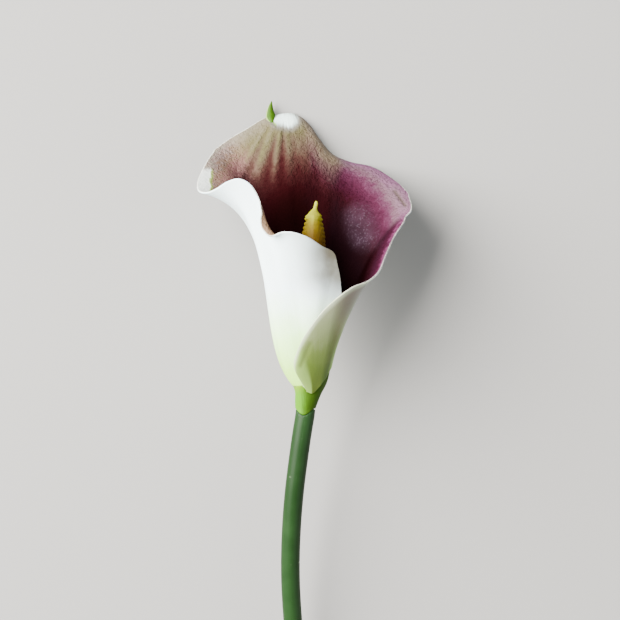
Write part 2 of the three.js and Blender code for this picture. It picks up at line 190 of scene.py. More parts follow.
def from_segment(points: Array, start: Sequence[float], end: Sequence[float]) -> Array:
    """How far points lie from a straight line's stretch, seen from the front.

    Args:
        points: points, of which x and y are read.
        start: x and y of the stretch's first end.
        end: x and y of its other end.

    Returns:
        The distances, in the points' units.
    """
    first, run = np.array(start), np.array(end) - np.array(start)
    offset = points[..., :2] - first
    share = np.clip(offset @ run / (run @ run), 0.0, 1.0)
    return np.linalg.norm(offset - share[..., None] * run, axis=-1)


# Shader graphs.


class Wire:
    """An output socket of a shader graph; arithmetic on it adds Math nodes."""

    def __init__(self, graph: Graph, socket: Optional[bpy.types.NodeSocket]) -> None:
        """Wraps a socket of a graph."""
        self.graph = graph
        self.socket = socket

    def __add__(self, other: Value) -> Wire:
        """This plus other."""
        return self.graph.math("ADD", self, other)

    def __radd__(self, other: Value) -> Wire:
        """Other plus this."""
        return self.graph.math("ADD", other, self)

    def __sub__(self, other: Value) -> Wire:
        """This minus other."""
        return self.graph.math("SUBTRACT", self, other)

    def __rsub__(self, other: Value) -> Wire:
        """Other minus this."""
        return self.graph.math("SUBTRACT", other, self)

    def __mul__(self, other: Value) -> Wire:
        """This times other."""
        return self.graph.math("MULTIPLY", self, other)

    def __rmul__(self, other: Value) -> Wire:
        """Other times this."""
        return self.graph.math("MULTIPLY", other, self)

    def magnitude(self) -> Wire:
        """This without its sign."""
        return self.graph.math("ABSOLUTE", self)

    def between(self, low: float, high: float) -> Wire:
        """A smooth step from 0 at low to 1 at high, or from 1 to 0 where high is the lower."""
        settings = {"interpolation_type": "SMOOTHSTEP"}
        sockets = {"Value": self, "From Min": low, "From Max": high}
        return self.graph.node("ShaderNodeMapRange", settings, sockets)


Value = Union[Wire, float]


class Graph:
    """The node tree of one material, ending in one surface."""

    def __init__(self, name: str) -> None:
        """Makes an empty material of that name."""
        self.material = bpy.data.materials.new(name)
        self.material.use_nodes = True
        self.tree = self.material.node_tree
        self.tree.nodes.clear()

    def node(
        self,
        kind: str,
        settings: Optional[Mapping[str, object]] = None,
        sockets: Optional[Mapping[Union[str, int], object]] = None,
        output: Union[str, int, None] = 0,
    ) -> Wire:
        """Adds a node.

        Args:
            kind: the node's type.
            settings: its properties, set first; "stops" holds a colour ramp's stops.
            sockets: values or wires for its inputs, by name or number.
            output: the output to return, by name or number, or None if there is none.

        Returns:
            That output.
        """
        made = self.tree.nodes.new(kind)
        for name, value in (settings or {}).items():
            if name == "stops":
                self._set_stops(made.color_ramp, value)
            else:
                setattr(made, name, value)
        for name, value in (sockets or {}).items():
            self._feed(made.inputs[name], value)
        return Wire(self, None if output is None else made.outputs[output])

    def math(self, operation: str, *values: Value) -> Wire:
        """A Math node's result on one or two values."""
        return self.node("ShaderNodeMath", {"operation": operation}, dict(enumerate(values)))

    def mix(self, factor: Value, first: object, second: object) -> Wire:
        """A colour that goes from first to second as factor goes from 0 to 1."""
        return self.node("ShaderNodeMix", {"data_type": "RGBA"}, {0: factor, 6: first, 7: second}, 2)

    def scaled(self, vector: Wire, factors: Sequence[float]) -> Wire:
        """A vector with each of its numbers multiplied."""
        return self.node("ShaderNodeVectorMath", {"operation": "MULTIPLY"}, {0: vector, 1: factors})

    def ramp(self, factor: Value, stops: Stops) -> Wire:
        """The colour of a ramp at factor."""
        return self.node("ShaderNodeValToRGB", {"stops": stops}, {"Fac": factor})

    def reading(self, name: str) -> Wire:
        """A number that the mesh holds at each point."""
        return self.node("ShaderNodeAttribute", {"attribute_name": name}, output="Fac")

    def joined(self, x: Value, y: Value, z: Value = 0.0) -> Wire:
        """A vector from three numbers."""
        return self.node("ShaderNodeCombineXYZ", None, {0: x, 1: y, 2: z})

    def place(self) -> Wire:
        """The point's place in millimetres from the neck."""
        found = self.node("ShaderNodeTexCoord", output="Object")
        sockets = {0: found, 1: tuple(-NECK * MM)}
        moved = self.node("ShaderNodeVectorMath", {"operation": "ADD"}, sockets)
        return self.scaled(moved, (1 / MM,) * 3)

    def axis(self, vector: Wire, name: str) -> Wire:
        """One number of a vector: X, Y or Z."""
        return self.node("ShaderNodeSeparateXYZ", None, {0: vector}, name)

    def noise(self, vector: Wire, scale: float, detail: float = 3.0, twist: float = 0.0) -> Wire:
        """Noise about 0.5, with scale lumps to each unit of the vector."""
        sockets = {"Vector": vector, "Scale": scale, "Detail": detail, "Distortion": twist}
        return self.node("ShaderNodeTexNoise", None, sockets, "Fac")

    def bump(self, height: Wire, depth: float) -> Wire:
        """A normal from a height, of which 1 stands for depth millimetres."""
        return self.node("ShaderNodeBump", None, {"Height": height, "Distance": depth * MM}, "Normal")

    def surface(self, **sockets: object) -> bpy.types.Material:
        """Ends the graph in a surface.

        Args:
            sockets: values or wires for its inputs, with _ for the spaces in their names.

        Returns:
            The finished material.
        """
        named = {name.replace("_", " "): value for name, value in sockets.items()}
        shader = self.node("ShaderNodeBsdfPrincipled", None, named)
        self.node("ShaderNodeOutputMaterial", None, {"Surface": shader}, None)
        return self.material

    def _feed(self, socket: bpy.types.NodeSocket, value: object) -> None:
        """Links or sets one input."""
        if isinstance(value, Wire):
            self.tree.links.new(value.socket, socket)
        elif socket.type == "RGBA":
            socket.default_value = (*value, 1.0)
        else:
            socket.default_value = value

    @staticmethod
    def _set_stops(ramp: bpy.types.ColorRamp, stops: Stops) -> None:
        """Gives a colour ramp its stops."""
        while len(ramp.elements) < len(stops):
            ramp.elements.new(1.0)
        for element, (place, colour) in zip(ramp.elements, stops):
            element.position = place
            element.color = (*colour, 1.0)


# Finishes.


@dataclass(frozen=True)
class SpatheOutside:
    """Outer face of the spathe: satin white, green towards the foot and more so on the flap, which
    painted shade darkens.
    """

    # By height, from the foot up to where the white is pure.
    body_stops: Stops = (
        (0.07, (0.300, 0.520, 0.060)),
        (0.26, (0.340, 0.600, 0.100)),
        (0.55, (0.470, 0.750, 0.290)),
        (0.76, (0.600, 0.790, 0.580)),
        (0.95, (0.680, 0.800, 0.810)),
    )
    # The flap's green by height, darkened too by painted shade.
    flap_green_and_shade_stops: Stops = (
        (0.12, (0.0450, 0.0700, 0.0025)),
        (0.23, (0.0540, 0.0840, 0.0060)),
        (0.30, (0.0600, 0.0950, 0.0080)),
        (0.42, (0.0880, 0.1250, 0.0230)),
        (0.53, (0.1300, 0.1600, 0.0600)),
        (0.65, (0.1470, 0.1720, 0.0790)),
        (0.77, (0.1560, 0.1690, 0.0940)),
        (0.88, (0.2000, 0.1900, 0.1250)),
    )
    # Painted shade: the far side of the flap, darker still.
    far_flap_shade_stops: Stops = (
        (0.12, (0.0220, 0.0480, 0.0010)),
        (0.30, (0.0420, 0.0730, 0.0030)),
        (0.44, (0.0740, 0.1050, 0.0080)),
        (0.53, (0.0950, 0.1130, 0.0250)),
        (0.65, (0.1470, 0.1540, 0.0670)),
        (0.80, (0.1330, 0.1200, 0.0800)),
        (0.90, (0.1350, 0.1130, 0.0880)),
    )
    full_height: float = 43.0
    flap_turns: tuple[float, float] = (10.0, -42.0)
    far_flap_shade_turns: tuple[float, float] = (-58.0, -43.0)
    near_flap: Colour = (0.140, 0.215, 0.045)
    near_flap_turns: tuple[float, float] = (-75.5, -80.0)
    near_flap_heights: tuple[float, float] = (24.0, 17.0)
    shaded: Colour = (0.085, 0.075, 0.050)
    margin: Colour = (0.42, 0.48, 0.33)
    # Painted shade along the crease of the flap's groove.
    groove: Colour = (0.075, 0.105, 0.020)
    lime: Colour = (0.26, 0.46, 0.04)
    # How strongly each marking shows, and how far from the rim its pale margin reaches, in millimetres.
    margin_reach: tuple[float, float] = (3.2, 0.3)
    margin_strength: float = 0.6
    groove_shade_strength: float = 0.7
    # How far the veins' lines and the blotches shift the green up or down, in millimetres.
    line_drift: float = 5.0
    blotch_drift: float = 9.0
    lines_to_degree: float = 1.3
    lines_to_mm: float = 0.03
    grain_depth: float = 0.07
    roughness: float = 0.5

    def material(self) -> bpy.types.Material:
        """The finished material."""
        graph = Graph("spathe_outside")
        place = graph.place()
        turn, vein, rim = graph.reading("turn"), graph.reading("vein_mm"), graph.reading("rim_mm")
        lines = graph.noise(graph.joined(turn * self.lines_to_degree, vein * self.lines_to_mm), 1.0)
        blotches = graph.noise(place, 0.11, 3.0)
        grain = graph.noise(place, 1.1, 4.0, 0.4)
        drift = (lines - 0.5) * self.line_drift + (blotches - 0.5) * self.blotch_drift
        height = graph.axis(place, "Y")
        level = (height + drift) * (1 / self.full_height)
        body = graph.ramp(level, self.body_stops)
        shade = graph.reading("lip_shade") * (1.0 + (blotches - 0.5) * 0.5)
        body = graph.mix(shade, body, self.shaded)
        body = graph.mix(graph.reading("clasp"), body, self.lime)
        # The flap's green, with painted shade in it and more painted shade on its far side.
        flap = graph.ramp(level, self.flap_green_and_shade_stops)
        far = graph.ramp(level, self.far_flap_shade_stops)
        flap = graph.mix(turn.between(*self.far_flap_shade_turns), flap, far)
        near = turn.between(*self.near_flap_turns) * height.between(*self.near_flap_heights)
        flap = graph.mix(near, flap, self.near_flap)
        flap = graph.mix(rim.between(*self.margin_reach) * self.margin_strength, flap, self.margin)
        # Painted shade in the flap's groove.
        flap = graph.mix(graph.reading("groove") * self.groove_shade_strength, flap, self.groove)
        colour = graph.mix(turn.between(*self.flap_turns), body, flap)
        relief = grain * 0.6 + blotches * 2.0 + lines * 0.4
        return graph.surface(
            Base_Color=colour,
            Roughness=self.roughness + (grain - 0.5) * 0.1,
            Specular_IOR_Level=0.3,
            Subsurface_Weight=0.12,
            Subsurface_Radius=(1.0, 0.9, 0.6),
            Subsurface_Scale=1.2 * MM,
            Normal=graph.bump(relief, self.grain_depth),
        )


@dataclass(frozen=True)
class SpatheInside:
    """Inner face of the spathe: near black in the throat, wine and rose above, cream at the rim."""

    back_stops: Stops = (
        (0.00, (0.0036, 0.0007, 0.0007)),
        (0.17, (0.0054, 0.0009, 0.0010)),
        (0.29, (0.0092, 0.0013, 0.0017)),
        (0.40, (0.0165, 0.0038, 0.0040)),
        (0.53, (0.0310, 0.0140, 0.0110)),
        (0.65, (0.0530, 0.0370, 0.0240)),
        (0.80, (0.0660, 0.0580, 0.0270)),
        (0.90, (0.0900, 0.0780, 0.0480)),
        (1.00, (0.1100, 0.0950, 0.0700)),
    )
    left_stops: Stops = (
        (0.35, (0.0130, 0.0030, 0.0035)),
        (0.50, (0.0280, 0.0075, 0.0090)),
        (0.60, (0.0550, 0.0230, 0.0230)),
        (0.67, (0.1320, 0.0590, 0.0590)),
        (0.75, (0.1520, 0.0780, 0.0690)),
        (0.82, (0.1300, 0.0830, 0.0570)),
        (0.90, (0.1380, 0.0950, 0.0860)),
        (1.00, (0.1600, 0.1340, 0.1080)),
    )
    # Painted light: paler than the back, lifting the valley between the back and the right lobe out of
    # its shade.
    ridge_light_stops: Stops = (
        (0.00, (0.0040, 0.0009, 0.0010)),
        (0.34, (0.0088, 0.0014, 0.0019)),
        (0.44, (0.0170, 0.0034, 0.0046)),
        (0.52, (0.0270, 0.0068, 0.0098)),
        (0.60, (0.0500, 0.0240, 0.0250)),
        (0.69, (0.0870, 0.0520, 0.0440)),
        (0.81, (0.1600, 0.1200, 0.0780)),
        (0.92, (0.1500, 0.1250, 0.1000)),
    )
    rose_stops: Stops = (
        (0.00, (0.0045, 0.0011, 0.0014)),
        (0.20, (0.0055, 0.0016, 0.0024)),
        (0.36, (0.0070, 0.0018, 0.0026)),
        (0.47, (0.0120, 0.0020, 0.0034)),
        (0.57, (0.0205, 0.0035, 0.0087)),
        (0.67, (0.0370, 0.0085, 0.0190)),
        (0.75, (0.0560, 0.0190, 0.0350)),
        (0.83, (0.0850, 0.0470, 0.0600)),
        (0.93, (0.1250, 0.0560, 0.0980)),
    )
    flank_stops: Stops = (
        (0.00, (0.0030, 0.0006, 0.0008)),
        (0.38, (0.0036, 0.0006, 0.0009)),
        (0.60, (0.0090, 0.0016, 0.0030)),
        (0.75, (0.0135, 0.0028, 0.0065)),
        (0.86, (0.0190, 0.0035, 0.0088)),
        (0.92, (0.0300, 0.0065, 0.0160)),
        (0.97, (0.0700, 0.0180, 0.0430)),
        (1.00, (0.1000, 0.0400, 0.0700)),
    )
    left_turns: tuple[float, float] = (122.0, 146.0)
    # Where the rose comes in from left to right, and how far the blotches shift it, in millimetres.
    rose_from: tuple[float, float] = (-3.0, 11.0)
    rose_drift: float = 12.0
    flank_turns: tuple[float, float] = (18.0, 9.0)
    ridge_light_turns: tuple[float, float, float, float] = (58.0, 70.0, 84.0, 95.0)
    # How far each pattern shifts the level that the colours are read at.
    mottle: float = 0.18
    streaks: float = 0.10
    blotch_tone: float = 0.08
    pleat_tone: float = 0.26
    crinkle_tone: float = 0.3
    # Openings between which the patterns come in, above the dark throat.
    mottled_from: tuple[float, float] = (0.1, 0.45)
    rim_white: Colour = (0.45, 0.45, 0.40)
    # The white rim's width, the shares of it between which it fades, and its loss on the flank.
    rim_width: float = 0.35
    rim_soft: tuple[float, float] = (1.3, 0.7)
    rim_loss_on_flank: float = 0.6
    tip_white: Colour = (0.50, 0.53, 0.50)
    tip_line: Colour = (0.13, 0.22, 0.01)
    tip_edge: float = -34.9
    tip_top: tuple[float, float] = (87.5, 85.0)
    # How far each pattern shifts the tip's edge, and the millimetres that its white and its
    # green line fade over.
    tip_blotch_drift: float = 3.0
    tip_streak_drift: float = 1.5
    tip_fade: tuple[float, float] = (0.2, -0.8)
    tip_line_fade: tuple[float, float] = (0.8, 0.1)
    tip_line_strength: float = 0.6
    gather_grey: Colour = (0.120, 0.112, 0.100)
    gather_white: Colour = (0.50, 0.60, 0.58)
    gather_strength: float = 0.75
    # How frayed the gathered white is, and the levels that its grey and its white come in over.
    gather_fray: float = 0.9
    grey_levels: tuple[float, float] = (0.0, 0.45)
    white_levels: tuple[float, float] = (0.35, 0.9)
    crease_green: Colour = (0.12, 0.19, 0.02)
    # Painted shadow in the fold of the tuck in the right tip.
    tuck_shadow: Colour = (0.045, 0.033, 0.026)
    tuck_shadow_strength: float = 0.85
    tuck_pale: Colour = (0.095, 0.061, 0.072)
    tuck_side_strength: float = 0.75
    # A painted sheen and painted glints on the right, where the inside is matt.
    waxy: Colour = (0.046, 0.0250, 0.040)
    painted_sheen_strength: float = 0.36
    painted_sheen_mottle: float = 0.8
    painted_glint: Colour = (0.135, 0.100, 0.130)
    painted_glint_strength: float = 0.2
    painted_glint_levels: tuple[float, float] = (0.53, 0.68)
    roll_tan: Colour = (0.150, 0.095, 0.058)
    roll_turns: tuple[float, float] = (236.0, 242.0)
    grain_depth: float = 0.25
    crinkle_depth: float = 0.9
    # The relief is calm on the gathered white, on the left tip and, in part, on the painted sheen.
    calm_levels: tuple[float, float] = (0.0, 0.6)
    painted_sheen_calm: float = 0.6
    roughness: float = 0.6

    def by_turn(self, graph: Graph, level: Wire, crinkled: Wire, rose: Wire, turn: Wire) -> Wire:
        """The ground colour, which changes round the funnel as well as up it, with painted light in the
        valley by the right lobe.

        Args:
            graph: the material's graph.
            level: how far up from the throat each point counts as, from 0 to 1.
            crinkled: the same, shifted by the crinkles of the left side.
            rose: how far to the right a point counts as, from 0 to 1.
            turn: the turn of the vein through each point.

        Returns:
            The colour.
        """
        colour = graph.mix(rose, graph.ramp(level, self.back_stops), graph.ramp(level, self.rose_stops))
        # A band of painted light in the valley between the back and the right lobe.
        first, full, fades, last = self.ridge_light_turns
        ridge = turn.between(first, full) * turn.between(last, fades)
        colour = graph.mix(ridge, colour, graph.ramp(level, self.ridge_light_stops))
        left = turn.between(*self.left_turns)
        colour = graph.mix(left, colour, graph.ramp(crinkled, self.left_stops))
        return graph.mix(turn.between(*self.flank_turns), colour, graph.ramp(level, self.flank_stops))

    def material(self) -> bpy.types.Material:
        """The finished material."""
        graph = Graph("spathe_inside")
        place = graph.place()
        across, height = graph.axis(place, "X"), graph.axis(place, "Y")
        turn, vein, rim = graph.reading("turn"), graph.reading("vein_mm"), graph.reading("rim_mm")
        opening, pleat = graph.reading("opening"), graph.reading("pleat")
        streaks = graph.noise(graph.joined(turn * 0.42, vein * 0.16), 1.0, 4.0, 0.3)
        fan = graph.joined(graph.reading("fan_angle") * 0.4, graph.reading("fan_mm") * 0.12, 7.0)
        fan_streaks = graph.noise(fan, 1.0, 4.0, 0.3)
        grain = graph.noise(place, 0.7, 5.0, 0.8)
        blotches = graph.noise(place, 0.16, 3.0)
        crinkle = graph.noise(place, 0.42, 2.0, 1.2)
        # Mottling fades out in the dark throat.
        mottled = opening.between(*self.mottled_from)
        tone = (grain - 0.5) * self.mottle + (streaks - 0.5) * self.streaks
        tone = tone + (blotches - 0.5) * self.blotch_tone
        tone = tone + (fan_streaks - 0.5) * self.streaks * graph.reading("fanned")
        level = opening + (tone + pleat * self.pleat_tone) * mottled
        rose = (across + (blotches - 0.5) * self.rose_drift).between(*self.rose_from)
        crinkled = level + (crinkle - 0.5) * self.crinkle_tone
        colour = self.by_turn(graph, level, crinkled, rose, turn)
        # A painted sheen of pale lilac on the right, with small painted glints in it.
        waxy = graph.reading("waxy")
        painted_glints = graph.noise(place, 1.3, 4.0, 0.8).between(*self.painted_glint_levels)
        patchy = self.painted_sheen_strength + (blotches - 0.5) * self.painted_sheen_mottle
        colour = graph.mix(waxy * patchy, colour, self.waxy)
        colour = graph.mix(waxy * painted_glints * self.painted_glint_strength, colour, self.painted_glint)
        # White at the gathered point, on the left tip and along the rim.
        gather = graph.reading("gather") * (1.0 + (fan_streaks - 0.5) * self.gather_fray)
        grey = gather.between(*self.grey_levels) * self.gather_strength
        colour = graph.mix(grey, colour, self.gather_grey)
        colour = graph.mix(gather.between(*self.white_levels), colour, self.gather_white)
        colour = graph.mix(graph.reading("crease"), colour, self.crease_green)
        colour = graph.mix(turn.between(*self.roll_turns), colour, self.roll_tan)
        colour = graph.mix(graph.reading("tuck_side") * self.tuck_side_strength, colour, self.tuck_pale)
        # Painted shadow in the tuck's fold.
        colour = graph.mix(graph.reading("tuck") * self.tuck_shadow_strength, colour, self.tuck_shadow)
        low = height.between(*self.tip_top)
        from_edge = across + (blotches - 0.5) * self.tip_blotch_drift
        from_edge = from_edge + (streaks - 0.5) * self.tip_streak_drift - self.tip_edge
        tip = from_edge.between(*self.tip_fade) * low
        colour = graph.mix(tip, colour, self.tip_white)
        line = from_edge.magnitude().between(*self.tip_line_fade) * low * self.tip_line_strength
        colour = graph.mix(line, colour, self.tip_line)
        edge = rim.between(*(self.rim_width * share for share in self.rim_soft))
        edge = edge * (1.0 - turn.between(*self.flank_turns) * self.rim_loss_on_flank)
        colour = graph.mix(edge, colour, self.rim_white)
        calm = (1.0 - gather.between(*self.calm_levels)) * (1.0 - tip) * (1.0 - waxy * self.painted_sheen_calm)
        bumpy = graph.noise(place, 0.8, 2.0, 0.8) * (mottled * calm * self.crinkle_depth)
        relief = (grain + streaks * 0.5 + fan_streaks * 0.5) * self.grain_depth + bumpy
        return graph.surface(
            Base_Color=colour,
            Roughness=self.roughness,
            Specular_IOR_Level=0.0,
            Normal=graph.bump(relief, 1.0),
        )


@dataclass(frozen=True)
class FootSkin:
    """The foot: lime under the spathe, a deeper green lower down, and darker on the right with painted
    shade.
    """

    lime: Colour = (0.125, 0.215, 0.008)
    green: Colour = (0.056, 0.170, 0.002)
    # Painted shade: the right side darkens to this.
    dark: Colour = (0.023, 0.052, 0.003)
    right_shade_from: tuple[float, float] = (-3.2, 1.4)
    from_height: tuple[float, float] = (6.5, 1.5)

    def material(self) -> bpy.types.Material:
        """The finished material."""
        graph = Graph("spathe_foot")
        place = graph.place()
        lines = graph.noise(graph.scaled(place, (1.6, 0.12, 1.6)), 1.0, 3.0)
        fibres = graph.noise(place, 1.5, 3.0)
        low = (graph.axis(place, "Y") + (lines - 0.5) * 5.0).between(*self.from_height)
        # Painted shade darkens the right side.
        right = (graph.axis(place, "X") + (lines - 0.5) * 3.0).between(*self.right_shade_from)
        return graph.surface(
            Base_Color=graph.mix(right, graph.mix(low, self.lime, self.green), self.dark),
            Roughness=0.5 + (fibres - 0.5) * 0.1,
            Specular_IOR_Level=0.04,
            Normal=graph.bump(lines + fibres * 0.4, 0.08),
        )


@dataclass(frozen=True)
class HornSkin:
    """The horn: clear green, with the white of the rim running up its left side."""

    green: Colour = (0.032, 0.078, 0.001)
    dark: Colour = (0.018, 0.048, 0.002)
    white: Colour = (0.18, 0.24, 0.08)
    white_from: tuple[float, float] = (-0.62, -0.98)

    def material(self) -> bpy.types.Material:
        """The finished material."""
        graph = Graph("spathe_horn")
        place = graph.place()
        fibres = graph.noise(graph.scaled(place, (1.4, 0.2, 1.4)), 1.0, 3.0)
        side = graph.reading("side") + (fibres - 0.5) * 0.3
        colour = graph.mix(fibres, self.dark, self.green)
        return graph.surface(
            Base_Color=graph.mix(side.between(*self.white_from), colour, self.white),
            Roughness=0.45 + (fibres - 0.5) * 0.1,
            Specular_IOR_Level=0.06,
            Normal=graph.bump(fibres, 0.12),
        )


@dataclass(frozen=True)
class SpadixSkin:
    """The spadix: lemon at its tip, golden and then amber lower down, with painted shade low down and
    between its florets.
    """

    # Lemon at the tip to amber is its own colour; the darkening lower down is partly painted shade from
    # the front wall.
    stops: Stops = (
        (0.00, (0.030, 0.012, 0.001)),
        (0.60, (0.056, 0.026, 0.001)),
        (0.70, (0.082, 0.050, 0.002)),
        (0.78, (0.110, 0.082, 0.003)),
        (0.88, (0.195, 0.195, 0.008)),
        (1.00, (0.300, 0.310, 0.030)),
    )
    heights: tuple[float, float] = (34.0, 74.0)
    crevice_shade: Colour = (0.040, 0.028, 0.001)
    crevice_shade_strength: float = 0.3
    pollen_strength: float = 0.2

    def material(self) -> bpy.types.Material:
        """The finished material."""
        graph = Graph("spadix_florets")
        place = graph.place()
        pollen = graph.noise(place, 2.6, 4.0)
        blotches = graph.noise(place, 0.25, 2.0)
        low, high = self.heights
        level = (graph.axis(place, "Y") - low) * (1 / (high - low)) + (blotches - 0.5) * 0.12
        colour = graph.ramp(level, self.stops)
        # Painted shade in the crevices between florets, with random darker and paler specks.
        deep = graph.reading("floret").between(0.45, 0.0)
        darker = deep * self.crevice_shade_strength + (pollen - 0.5) * self.pollen_strength
        return graph.surface(
            Base_Color=graph.mix(darker, colour, self.crevice_shade),
            Roughness=0.55 + (pollen - 0.5) * 0.2,
            Specular_IOR_Level=0.06,
            Subsurface_Weight=0.12,
            Subsurface_Radius=(1.0, 0.7, 0.1),
            Subsurface_Scale=1.0 * MM,
            Normal=graph.bump(pollen, 0.08),
        )


@dataclass(frozen=True)
class StemSkin:
    """The stem: waxy dark green with fine lines along it and a few pale flecks."""

    green: Colour = (0.0045, 0.0180, 0.0028)
    pale: Colour = (0.0110, 0.0340, 0.0080)
    fleck: Colour = (0.16, 0.20, 0.13)
    roughness: float = 0.45

    def material(self) -> bpy.types.Material:
        """The finished material."""
        graph = Graph("stem_skin")
        place = graph.place()
        around, run = graph.reading("around"), graph.reading("run_mm")
        lines = graph.noise(graph.joined(around * 14.0, run * 0.02), 1.0, 3.0)
        cloud = graph.noise(place, 0.07, 3.0)
        specks = graph.noise(graph.joined(around * 3.0, run * 0.35, 3.0), 1.0, 1.0)
        paler = cloud.between(0.3, 0.75) * 0.7 + (lines - 0.5) * 0.5
        colour = graph.mix(paler, self.green, self.pale)
        return graph.surface(
            Base_Color=graph.mix(specks.between(0.74, 0.80), colour, self.fleck),
            Roughness=self.roughness + (lines - 0.5) * 0.15,
            Specular_IOR_Level=0.10,
            Normal=graph.bump(lines + cloud, 0.06),
        )


@dataclass(frozen=True)
class CutSkin:
    """The cut end of the stem: wet pale pith, dotted with fibres, inside a green ring."""

    pith: Colour = (0.50, 0.56, 0.30)
    fibre: Colour = (0.24, 0.30, 0.12)
    ring: Colour = (0.09, 0.17, 0.06)

    def material(self) -> bpy.types.Material:
        """The finished material."""
        graph = Graph("stem_cut")
        place = graph.place()
        cells = graph.node("ShaderNodeTexVoronoi", None, {"Vector": place, "Scale": 1.5}, "Distance")
        colour = graph.mix(cells.between(0.30, 0.12), self.pith, self.fibre)
        edge = (graph.reading("from_middle") + (cells - 0.5) * 0.1).between(0.82, 0.96)
        return graph.surface(
            Base_Color=graph.mix(edge, colour, self.ring),
            Roughness=0.3 + cells * 0.2,
            Normal=graph.bump(cells, -0.25),
        )


@dataclass(frozen=True)
class FloorFinish:
    """A plain pale floor, very faintly uneven in tone."""

    pale: Colour = (0.20, 0.195, 0.185)
    paler: Colour = (0.22, 0.215, 0.205)

    def material(self) -> bpy.types.Material:
        """The finished material."""
        graph = Graph("floor")
        cloud = graph.noise(graph.place(), 0.004, 2.0)
        return graph.surface(Base_Color=graph.mix(cloud, self.pale, self.paler), Roughness=0.8)


# Meshes.


class Slot(Enum):
    """Material slots."""

    STEM = "stem"
    SPATHE = "spathe"
    SPADIX = "spadix"


class Side(Enum):
    """Which finish a face of the rolled sheet takes."""

    OUTSIDE = 0
    INSIDE = 1


def grid(rows: int, columns: int, wraps: bool = False) -> Array:
    """The four-sided faces of a grid of points.

    Args:
        rows: how many rows of points.
        columns: how many points in a row.
        wraps: whether each row closes on itself.

    Returns:
        The point numbers of each face, facing column direction by row direction.
    """
    numbers = np.arange(rows * columns).reshape(rows, columns)
    if wraps:
        numbers = np.column_stack([numbers, numbers[:, :1]])
    corners = [numbers[:-1, :-1], numbers[:-1, 1:], numbers[1:, 1:], numbers[1:, :-1]]
    return np.stack(corners, axis=-1).reshape(-1, 4)


def tube(middles: Array, tangents: Array, radii: Array) -> Array:
    """Rings of points along a path, each starting at the front.

    Args:
        middles: the middle of each ring.
        tangents: the path's direction at each.
        radii: the radius of each point, ring by ring.

    Returns:
        The points, ring by ring; the second quarter of a ring lies to the right of the path.
    """
    angles = np.linspace(0, 2 * np.pi, radii.shape[1], endpoint=False)
    front = np.array([0.0, 0.0, 1.0])
    front = unit(front - tangents * (tangents @ front)[:, None])
    right = np.cross(tangents, front)
    round_it = front[:, None] * np.cos(angles)[:, None] + right[:, None] * np.sin(angles)[:, None]
    return middles[:, None] + round_it * radii[..., None]


@dataclass
class Skin:
    """A closed mesh in the making."""

    points: Array
    faces: list[Sequence[int]]
    finishes: Array
    readings: dict[str, Array] = field(default_factory=dict)

    @classmethod
    def around(cls, rings: Array, readings: Optional[dict[str, Array]] = None) -> Skin:
        """A skin over rings of points, closed by a fan at each end.

        Args:
            rings: the points, ring by ring.
            readings: numbers for each point of the rings, by name.

        Returns:
            The skin, with one finish.
        """
        count, sides = rings.shape[:2]
        points = np.vstack([rings.reshape(-1, 3), rings[0].mean(axis=0), rings[-1].mean(axis=0)])
        start, end = count * sides, count * sides + 1
        faces = [tuple(face) for face in grid(count, sides, True)]
        last = (count - 1) * sides
        for side in range(sides):
            after = (side + 1) % sides
            faces += [(start, after, side), (end, last + side, last + after)]
        held = {}
        for name, values in (readings or {}).items():
            held[name] = np.concatenate([values.ravel(), [values[0].mean(), values[-1].mean()]])
        return cls(points, faces, np.zeros(len(faces), dtype=int), held)

    def piece(self, name: str, finishes: Sequence[bpy.types.Material], slot: Slot) -> bpy.types.Object:
        """Makes the object, with its readings on it, and sets it on the flower.

        Args:
            name: the object's name.
            finishes: its materials, in the order that the faces number them.
            slot: a material slot; not used.

        Returns:
            The object.
        """
        mesh = bpy.data.meshes.new(name)
        mesh.from_pydata((self.points + NECK) * MM, [], self.faces)
        mesh.polygons.foreach_set("material_index", self.finishes)
        for reading, values in self.readings.items():
            layer = mesh.attributes.new(reading, "FLOAT", "POINT")
            layer.data.foreach_set("value", values.astype(np.float32))
        for finish in finishes:
            mesh.materials.append(finish)
        mesh.shade_smooth()
        mesh.update()
        made = bpy.data.objects.new(name, mesh)
        bpy.context.scene.collection.objects.link(made)
        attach(made, "root")
        LOG.info("%s: %d points, %d faces", name, len(self.points), len(self.faces))
        return made


# The flower.


